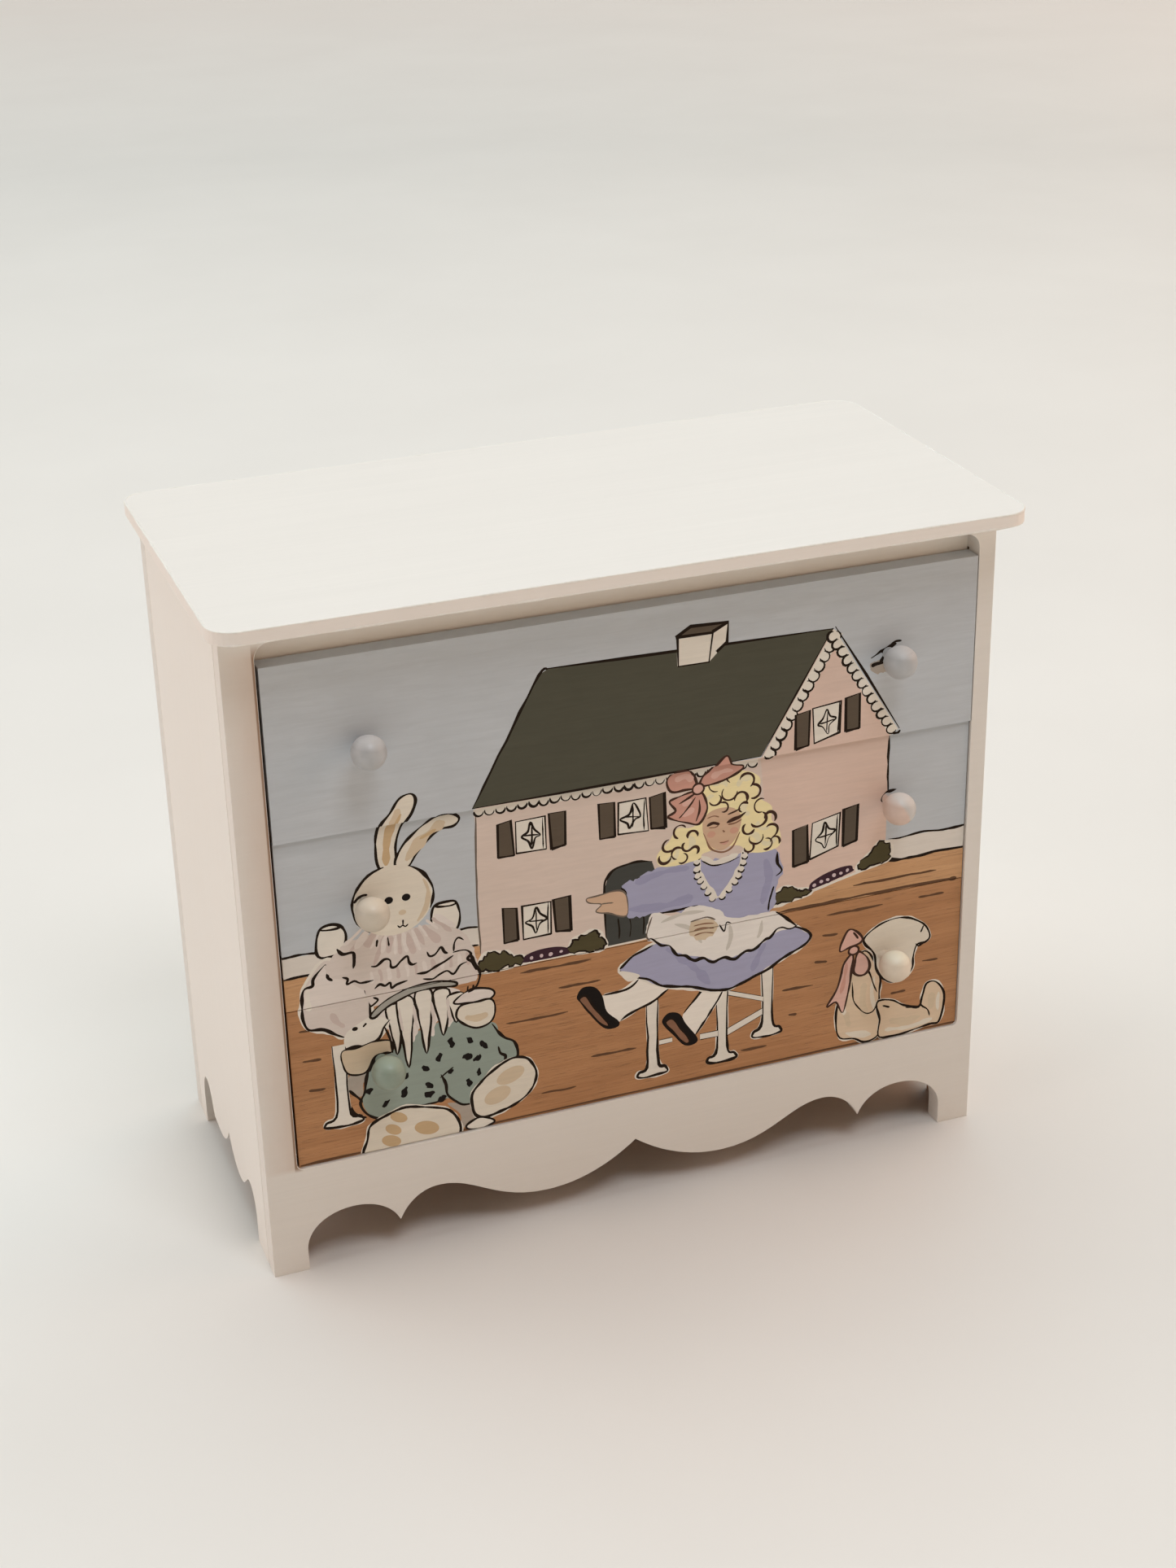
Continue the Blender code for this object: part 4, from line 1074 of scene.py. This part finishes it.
def paint_plush_bow():
    drawn("bow_light", [(70.9, 26.8), (69.6, 26.6), (68.4, 26.2), (68.6, 27.6), (69.4, 28.8), (70.4, 28.4),
                        (71.2, 27.4)], 0.24, line="umber")
    drawn("bow_light", [(70.7, 25.7), (70.1, 23.4), (70.6, 22.6), (71.6, 22.6), (72.2, 23.6), (71.7, 24.9)],
          0.24, line="umber")
    drawn("bow_light", [(69.9, 25.6), (68.8, 24.4), (68.2, 21.6), (66.9, 19.3), (68.0, 19.6), (68.9, 18.1),
                        (69.6, 21.0), (69.9, 23.4)], 0.22, line="umber")
    dab("bow", [(69.2, 24.6), (69.0, 22.4), (68.6, 20.6)], 0.4)
    drawn("bow_light", oval((70.1, 26.0), 0.65, 0.55), 0.2, line="umber")
    stroke([(70.0, 28.4), (70.6, 27.4)], 0.18, "umber")


def paint_knob_marks():
    """Ink that ran round the knobs, and the chip beside one of them."""
    stroke([(73.1, 44.3), (73.3, 45.0), (73.9, 45.5), (74.9, 45.6)], 0.34)
    stroke([(12.0, 44.1), (12.5, 44.7), (13.4, 44.8)], 0.3)
    stroke([(12.4, 23.4), (12.8, 24.6), (13.8, 25.4), (14.9, 25.3)], 0.3)
    fill("smudge", ragged([(70.9, 61.3), (71.5, 60.5), (72.6, 60.2), (73.3, 60.8), (72.6, 61.6),
                           (71.6, 61.7)], 0.14))
    fill("ink", [(72.2, 61.3), (72.7, 61.9), (73.3, 62.8), (74.1, 63.4), (73.6, 63.6), (72.8, 63.2),
                 (72.1, 62.9), (72.5, 62.4), (72.1, 61.8)])
    stroke([(71.1, 61.2), (71.7, 61.4), (72.6, 61.5)], 0.42)
    stroke([(71.0, 62.2), (71.8, 62.6), (72.4, 63.0)], 0.2)
    stroke([(73.4, 63.4), (74.0, 63.7), (74.7, 63.7)], 0.18)


# ---------------------------------------------------------------- knobs

KNOB_RINGS = 26
KNOB_SEGMENTS = 48
KNOB_NECK = 0.60 * MM
KNOB_BLUE = (0.463, 0.473, 0.484)
KNOB_WHITE = (0.545, 0.525, 0.505)


def knob_shape(node, face):
    """A small turned ball on a short thin neck, in the place of a CAD knob."""
    low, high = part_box(node)
    centre_x = (low.x + high.x) / 2
    centre_z = (low.z + high.z) / 2
    radius = (high.x - low.x) / 2
    reach = face - low.y
    middle = reach - radius
    profile = [(0.0, reach)]
    neck_angle = math.pi - math.asin(KNOB_NECK / radius)
    for step in range(1, KNOB_RINGS + 1):
        angle = neck_angle * step / KNOB_RINGS
        profile.append((radius * math.sin(angle), middle + radius * math.cos(angle)))
    profile += [(KNOB_NECK, 0.4 * MM), (KNOB_NECK * 1.1, 0.06 * MM), (KNOB_NECK * 1.15, -0.02 * MM),
                (0.0, -0.03 * MM)]
    bm = bmesh.new()
    rows = []
    for across, out in profile:
        if across == 0.0:
            rows.append([bm.verts.new((centre_x, face - out, centre_z))])
            continue
        row = []
        for index in range(KNOB_SEGMENTS):
            turn = 2 * math.pi * index / KNOB_SEGMENTS
            uneven = 1 + 0.006 * math.sin(3 * turn + centre_z / MM) * across / radius
            row.append(bm.verts.new((centre_x + across * uneven * math.cos(turn), face - out,
                                     centre_z + across * uneven * math.sin(turn))))
        rows.append(row)
    for first, second in zip(rows, rows[1:]):
        for index in range(KNOB_SEGMENTS):
            after = (index + 1) % KNOB_SEGMENTS
            ends = [first[index % len(first)], first[after % len(first)],
                    second[after % len(second)], second[index % len(second)]]
            bm.faces.new(list(dict.fromkeys(ends)))
    bmesh.ops.recalc_face_normals(bm, faces=bm.faces[:])
    return bm


def knob_material(name, colour, face, second=None):
    """Glossy paint on a wooden ball with a painted highlight on top; second is a paint that covers the far
    side.
    """
    finish = Finish(name, 0.36, specular=0.5)
    cloud = finish.noise((1.6, 1.6, 1.6), detail=4, shift=3.0)
    brush = finish.noise((2.0, 2.0, 0.3), detail=3, shift=6.0)
    tone = finish.mix(finish.span(cloud, 0.3, 0.7), scaled(colour, 0.88), scaled(colour, 0.98))
    if second is not None:
        ragged = finish.noise((1.2, 1.2, 1.2), detail=3, shift=11.0)
        far = finish.facing((0.9, 0, 0.45), -0.25, 0.35)
        share = finish.math("ADD", far, finish.math("SUBTRACT", ragged, 0.5))
        tone = finish.mix(finish.span(share, 0.35, 0.75), tone, second)
    on_ball = finish.span(finish.position()["Y"], face - 1.1 * MM, face - 0.8 * MM, 1.0, 0.0)
    # painted highlight: the upper side of the ball, not the neck, is painted paler
    painted_top_highlight = finish.math("MULTIPLY", finish.facing((0.10, 0.0, 0.995), 0.42, 1.0), on_ball)
    tone = finish.mix(painted_top_highlight, tone, scaled(second or colour, 1.55))
    tone = finish.mix(finish.span(brush, 0.58, 0.8, 0.0, 0.2), tone, scaled(colour, 0.8))
    return finish.finish(tone, finish.relief(brush, 0.02))


def make_knobs():
    """Each knob is painted like the part of the picture behind it."""
    looks = {
        "bottom_left": ((0.262, 0.318, 0.258), None, "green_paint"),
        "bottom_right": ((0.760, 0.665, 0.540), None, "cream_paint"),
        "middle_left": ((0.618, 0.552, 0.455), None, "cream_paint"),
        "middle_right": (PAINTS["gable"], KNOB_WHITE, "pink_paint"),
        "top_left": (KNOB_BLUE, None, "wall_paint"),
        "top_right": (KNOB_BLUE, None, "wall_paint"),
    }
    for place, (colour, second, slot) in looks.items():
        drawer, side = place.split("_")
        node = f"drawer_{drawer}_knob_{side}"
        face = BOARDS[drawer][0].y
        material = knob_material(f"knob_{place}", colour, face, second)
        piece = link_piece(f"turned_knob_{place}", knob_shape(node, face), material, smooth=True)
        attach(piece, f"drawer_{drawer}")
        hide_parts(node)


# ---------------------------------------------------------------- the case and the drawer boxes

TOP_CORNER = 3.0 * MM          # radius of the top board's corners
BEAD_INSET = 0.10 * MM         # how far the middle of a bead of paint lies inside the board's edge


def soften(node, width, edge):
    """Rounds a board's edges by a width in millimetres; edge is the material of the rounding."""
    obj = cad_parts[node]
    weld = obj.modifiers.new("weld", "WELD")
    weld.merge_threshold = 0.01 * MM
    bevel = obj.modifiers.new("soft_edges", "BEVEL")
    bevel.width = width * MM
    bevel.segments = 3
    bevel.limit_method = "ANGLE"
    bevel.angle_limit = math.radians(40)
    bevel.use_clamp_overlap = True
    if edge is not None:
        obj.data.materials.append(edge)
        bevel.material = len(obj.data.materials) - 1


def dress_node(node, material):
    """Gives a CAD board its material."""
    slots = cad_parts[node].data.materials
    slots.clear()
    slots.append(material)


def finish_case():
    """White paint outside, raw wood inside, on every board of the case."""
    edge = edge_material("white_edges")
    # the axis of the grain, the side left raw, the rounding of the edges and the paint
    boards = {
        "top_board": (0, None, 0.18, TOP_WHITE),
        "side_panel_left": (2, (1, 0, 0), 0.15, WHITE),
        "side_panel_right": (2, (-1, 0, 0), 0.15, WHITE),
        "back_panel": (0, (0, -1, 0), 0.15, scaled(WHITE, 0.88)),
        # the top rail's white is painted brighter: painted light in the dim slot above the top drawer
        "top_rail": (0, (0, 1, 0), 0.12, scaled(WHITE, 1.18)),
    }
    for node, (axis, bare_side, width, tone) in boards.items():
        dress_node(node, white_material(f"white_{node}", axis, bare_side, tone))
        soften(node, width, edge)
    dress_node("face_frame", frame_material())
    soften("face_frame", 0.12, edge_material("frame_edges", FRAME_WHITE_SHADED))
    raw = wood_material("raw_wood", 0, RAW_WOOD, RAW_WOOD_DARK, 0.62, 0.8)
    for node in ("bottom_panel", "dust_board_lower", "dust_board_upper"):
        dress_node(node, raw)
        soften(node, 0.1, None)


def finish_drawers():
    """Fronts of reddish wood under the picture, and pale raw boxes behind them."""
    front = wood_material("drawer_front_wood", 0)
    across = wood_material("box_wood_across", 0, RAW_WOOD, RAW_WOOD_DARK, 0.62, 0.8)
    deep = wood_material("box_wood_deep", 1, RAW_WOOD, RAW_WOOD_DARK, 0.62, 0.8)
    parts = (("front", front, 0.12), ("side_left", deep, 0.1), ("side_right", deep, 0.1),
             ("back", across, 0.1), ("bottom", across, 0.05))
    for name in DRAWERS:
        for part, material, width in parts:
            node = f"drawer_{name}_{part}"
            dress_node(node, material)
            soften(node, width, None)


def strip(name, low, high, material):
    """A bead of filler and paint in the joint between two boards, with soft edges."""
    bm = bmesh.new()
    bmesh.ops.create_cube(bm, size=1.0)
    for vert in bm.verts:
        vert.co = Vector((low[axis] if vert.co[axis] < 0 else high[axis]) for axis in range(3))
    rounding = 0.2 * min(high[axis] - low[axis] for axis in range(3))
    bmesh.ops.bevel(bm, geom=bm.edges[:], offset=rounding, segments=2, profile=0.5, affect="EDGES")
    piece = link_piece(name, bm, material)
    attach(piece, "carcass")


def rounded_path(low, high, corner, pitch):
    """Points round a rectangle with rounded corners, each with the direction that faces outwards."""
    corner_steps = 8
    found = []
    for turn, x_sign, y_sign in ((0, 1, 1), (90, -1, 1), (180, -1, -1), (270, 1, -1)):
        centre = Vector(((low.x + high.x) / 2 + x_sign * ((high.x - low.x) / 2 - corner),
                         (low.y + high.y) / 2 + y_sign * ((high.y - low.y) / 2 - corner)))
        for step in range(corner_steps + 1):
            angle = math.radians(turn + 90 * step / corner_steps)
            outwards = Vector((math.cos(angle), math.sin(angle)))
            found.append((centre + outwards * corner, outwards))
    path = []
    for (start, outwards), (end, _) in zip(found, found[1:] + found[:1]):
        count = max(1, round((end - start).length / pitch))
        path += [(start.lerp(end, step / count), outwards) for step in range(count)]
    return path


def paint_bead(name, height, material):
    """Paint that gathered unevenly along an edge of the top board."""
    low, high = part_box("top_board")
    sides = 8
    bm = bmesh.new()
    rings = []
    for place, outwards in rounded_path(low, high, TOP_CORNER, 0.4 * MM):
        spot = Vector((place.x, place.y, height)) / MM
        swell = 0.075 * noise.noise(spot * 0.45) + 0.03 * noise.noise(spot * 1.7)
        radius = (0.135 + swell) * MM
        centre = place - outwards * BEAD_INSET
        ring = []
        for index in range(sides):
            angle = 2 * math.pi * index / sides
            spread = centre + outwards * radius * math.cos(angle)
            ring.append(bm.verts.new((spread.x, spread.y, height + radius * math.sin(angle))))
        rings.append(ring)
    for first, second in zip(rings, rings[1:] + rings[:1]):
        for index in range(sides):
            after = (index + 1) % sides
            bm.faces.new([first[index], first[after], second[after], second[index]])
    bmesh.ops.recalc_face_normals(bm, faces=bm.faces[:])
    piece = link_piece(name, bm, material, smooth=True)
    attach(piece, "carcass")


def bead_top_board():
    low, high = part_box("top_board")
    paint = edge_material("bead_paint")
    paint_bead("bead_upper", high.z - BEAD_INSET, paint)
    paint_bead("bead_lower", low.z + BEAD_INSET, paint)


def fill_joints():
    """Painted-over glue lines, so that the boards of the case meet as one."""
    paint = white_material("joint_paint", 2)
    across = white_material("joint_paint_across", 0)
    front_low, front_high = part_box("face_frame")
    side_low, side_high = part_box("side_panel_left")
    back_low, back_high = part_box("back_panel")
    right_low, right_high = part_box("side_panel_right")
    top_low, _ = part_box("top_board")
    shy = 0.04 * MM      # how far the filler stays back from the outer faces of the boards
    grip = 0.05 * MM     # and how far it reaches into them
    sides = (("left", side_low.x + shy, side_high.x), ("right", right_low.x, right_high.x - shy))
    for side, x_low, x_high in sides:
        strip(f"joint_front_{side}", (x_low, front_high.y - grip, 0.1 * MM),
              (x_high, side_low.y + grip, front_high.z), paint)
        strip(f"joint_back_{side}", (x_low, side_high.y - grip, 0.1 * MM),
              (x_high, back_low.y + grip, back_high.z), paint)
        strip(f"joint_top_{side}", (x_low, side_low.y, side_high.z - grip),
              (x_high, side_high.y, top_low.z + grip), paint)
    ends = (("front", front_low.y + shy, front_high.y), ("back", back_low.y, back_high.y - shy))
    for end, y_low, y_high in ends:
        strip(f"joint_top_{end}", (front_low.x + shy, y_low, front_high.z - grip),
              (front_high.x - shy, y_high, top_low.z + grip), across)
    _, drawer_high = BOARDS["top"]
    rail_low, rail_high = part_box("top_rail")
    strip("joint_rail_right", (drawer_high.x + 0.26 * MM, front_high.y - grip, drawer_high.z + 0.2 * MM),
          (right_low.x + grip, rail_low.y + grip, rail_high.z), across)


# ---------------------------------------------------------------- floor, light and camera

def make_floor():
    """A plain pale floor with a far wall, which glows more far from the chest: painted light for a lit
    studio.
    """
    mesh = bpy.data.meshes.new("floor")
    half = 4.5
    wall = 0.4
    corners = ((-half, -half), (half, -half), (half, half), (-half, half))
    places = [(x, y, z) for z in (0.0, wall) for x, y in corners]
    sides = [(index, (index + 1) % 4, (index + 1) % 4 + 4, index + 4) for index in range(4)]
    mesh.from_pydata(places, [], [(0, 1, 2, 3)] + sides)
    finish = Finish("floor_paper", 0.75, specular=0.2)
    clouds = finish.noise((60, 60, 60), detail=3)
    tone = finish.mix(finish.span(clouds, 0.3, 0.7), (0.778, 0.744, 0.706), (0.803, 0.769, 0.731))
    distance = finish.node("ShaderNodeVectorMath", operation="LENGTH")
    finish.tree.links.new(finish.place, distance.inputs[0])
    # painted light: the floor emits light that grows with distance from the chest
    painted_glow = finish.span(distance.outputs["Value"], 0.60, 1.45, 0.0, 0.56)
    finish.feed(finish.shader, Emission_Color=(1.0, 0.86, 0.76, 1.0), Emission_Strength=painted_glow)
    mesh.materials.append(finish.finish(tone))
    floor = bpy.data.objects.new("floor", mesh)
    bpy.context.scene.collection.objects.link(floor)


def panel_light(name, place, width, height, power, colour):
    """A broad flat light that faces the middle of the chest."""
    middle = Vector((0.0, 0.0, 0.04))
    light = bpy.data.lights.new(name, "AREA")
    light.shape = "RECTANGLE"
    light.size = width
    light.size_y = height
    light.energy = power
    light.color = colour
    lamp = bpy.data.objects.new(name, light)
    lamp.location = place
    lamp.rotation_mode = "QUATERNION"
    lamp.rotation_quaternion = (middle - Vector(place)).to_track_quat("-Z", "Y")
    bpy.context.scene.collection.objects.link(lamp)


def make_light():
    """A broad panel overhead, one at each side and two weak ones in front."""
    bpy.context.scene.world = bpy.data.worlds.new("studio")
    bpy.context.scene.world.color = (0.0, 0.0, 0.0)
    panel_light("above", (0.0, 0.35, 1.0), 1.4, 1.2, 11.7, (0.76, 0.90, 0.93))
    panel_light("left", (-0.90, 0.20, 0.42), 1.4, 0.8, 5.7, (0.98, 0.80, 0.72))
    panel_light("right", (0.90, -0.05, 0.42), 1.4, 0.8, 5.7, (0.92, 0.58, 0.40))
    panel_light("front", (0.05, -0.42, 0.85), 0.3, 0.3, 2.3, (0.88, 0.93, 0.98))
    panel_light("low_front", (0.1, -1.0, 0.30), 1.6, 0.5, 1.56, (1.0, 0.78, 0.54))
    bpy.context.scene.view_settings.view_transform = "Standard"
    bpy.context.scene.view_settings.look = "None"


def make_camera():
    """A view from above and to the left of the front."""
    camera = bpy.data.cameras.new("camera")
    camera.lens = 57.26
    camera.sensor_width = 36.0
    camera.clip_start = 0.01
    camera.clip_end = 20.0
    yaw = math.radians(19.80)
    pitch = math.radians(25.37)
    roll = math.radians(-1.38)
    ahead = Vector((math.sin(yaw) * math.cos(pitch), math.cos(yaw) * math.cos(pitch), -math.sin(pitch)))
    right = Vector((math.cos(yaw), -math.sin(yaw), 0.0))
    up = right.cross(ahead)
    turned_right = math.cos(roll) * right + math.sin(roll) * up
    turned_up = math.cos(roll) * up - math.sin(roll) * right
    axes = Matrix((turned_right, turned_up, -ahead)).transposed().to_4x4()
    axes.translation = Vector((-85.60, -242.15, 166.40)) * MM
    eye = bpy.data.objects.new("camera", camera)
    eye.matrix_world = axes
    bpy.context.scene.collection.objects.link(eye)
    bpy.context.scene.camera = eye


paint_finishes = {paint: film_material(f"paint_{paint}", colour) for paint, colour in PAINTS.items()}
paint_finishes["stain"] = wood_material("floor_stain", 0, contrast=0.8)
paint_finishes["pale_stain"] = wood_material("pale_floor_stain", 0, PALE_WOOD, PALE_WOOD_DARK, contrast=0.8)
paint_room()
paint_floorboards()
paint_house()
paint_rabbit()
paint_doll()
paint_plush()
paint_knob_marks()
build_films()
make_knobs()
finish_case()
finish_drawers()
fill_joints()
bead_top_board()
make_floor()
make_light()
make_camera()
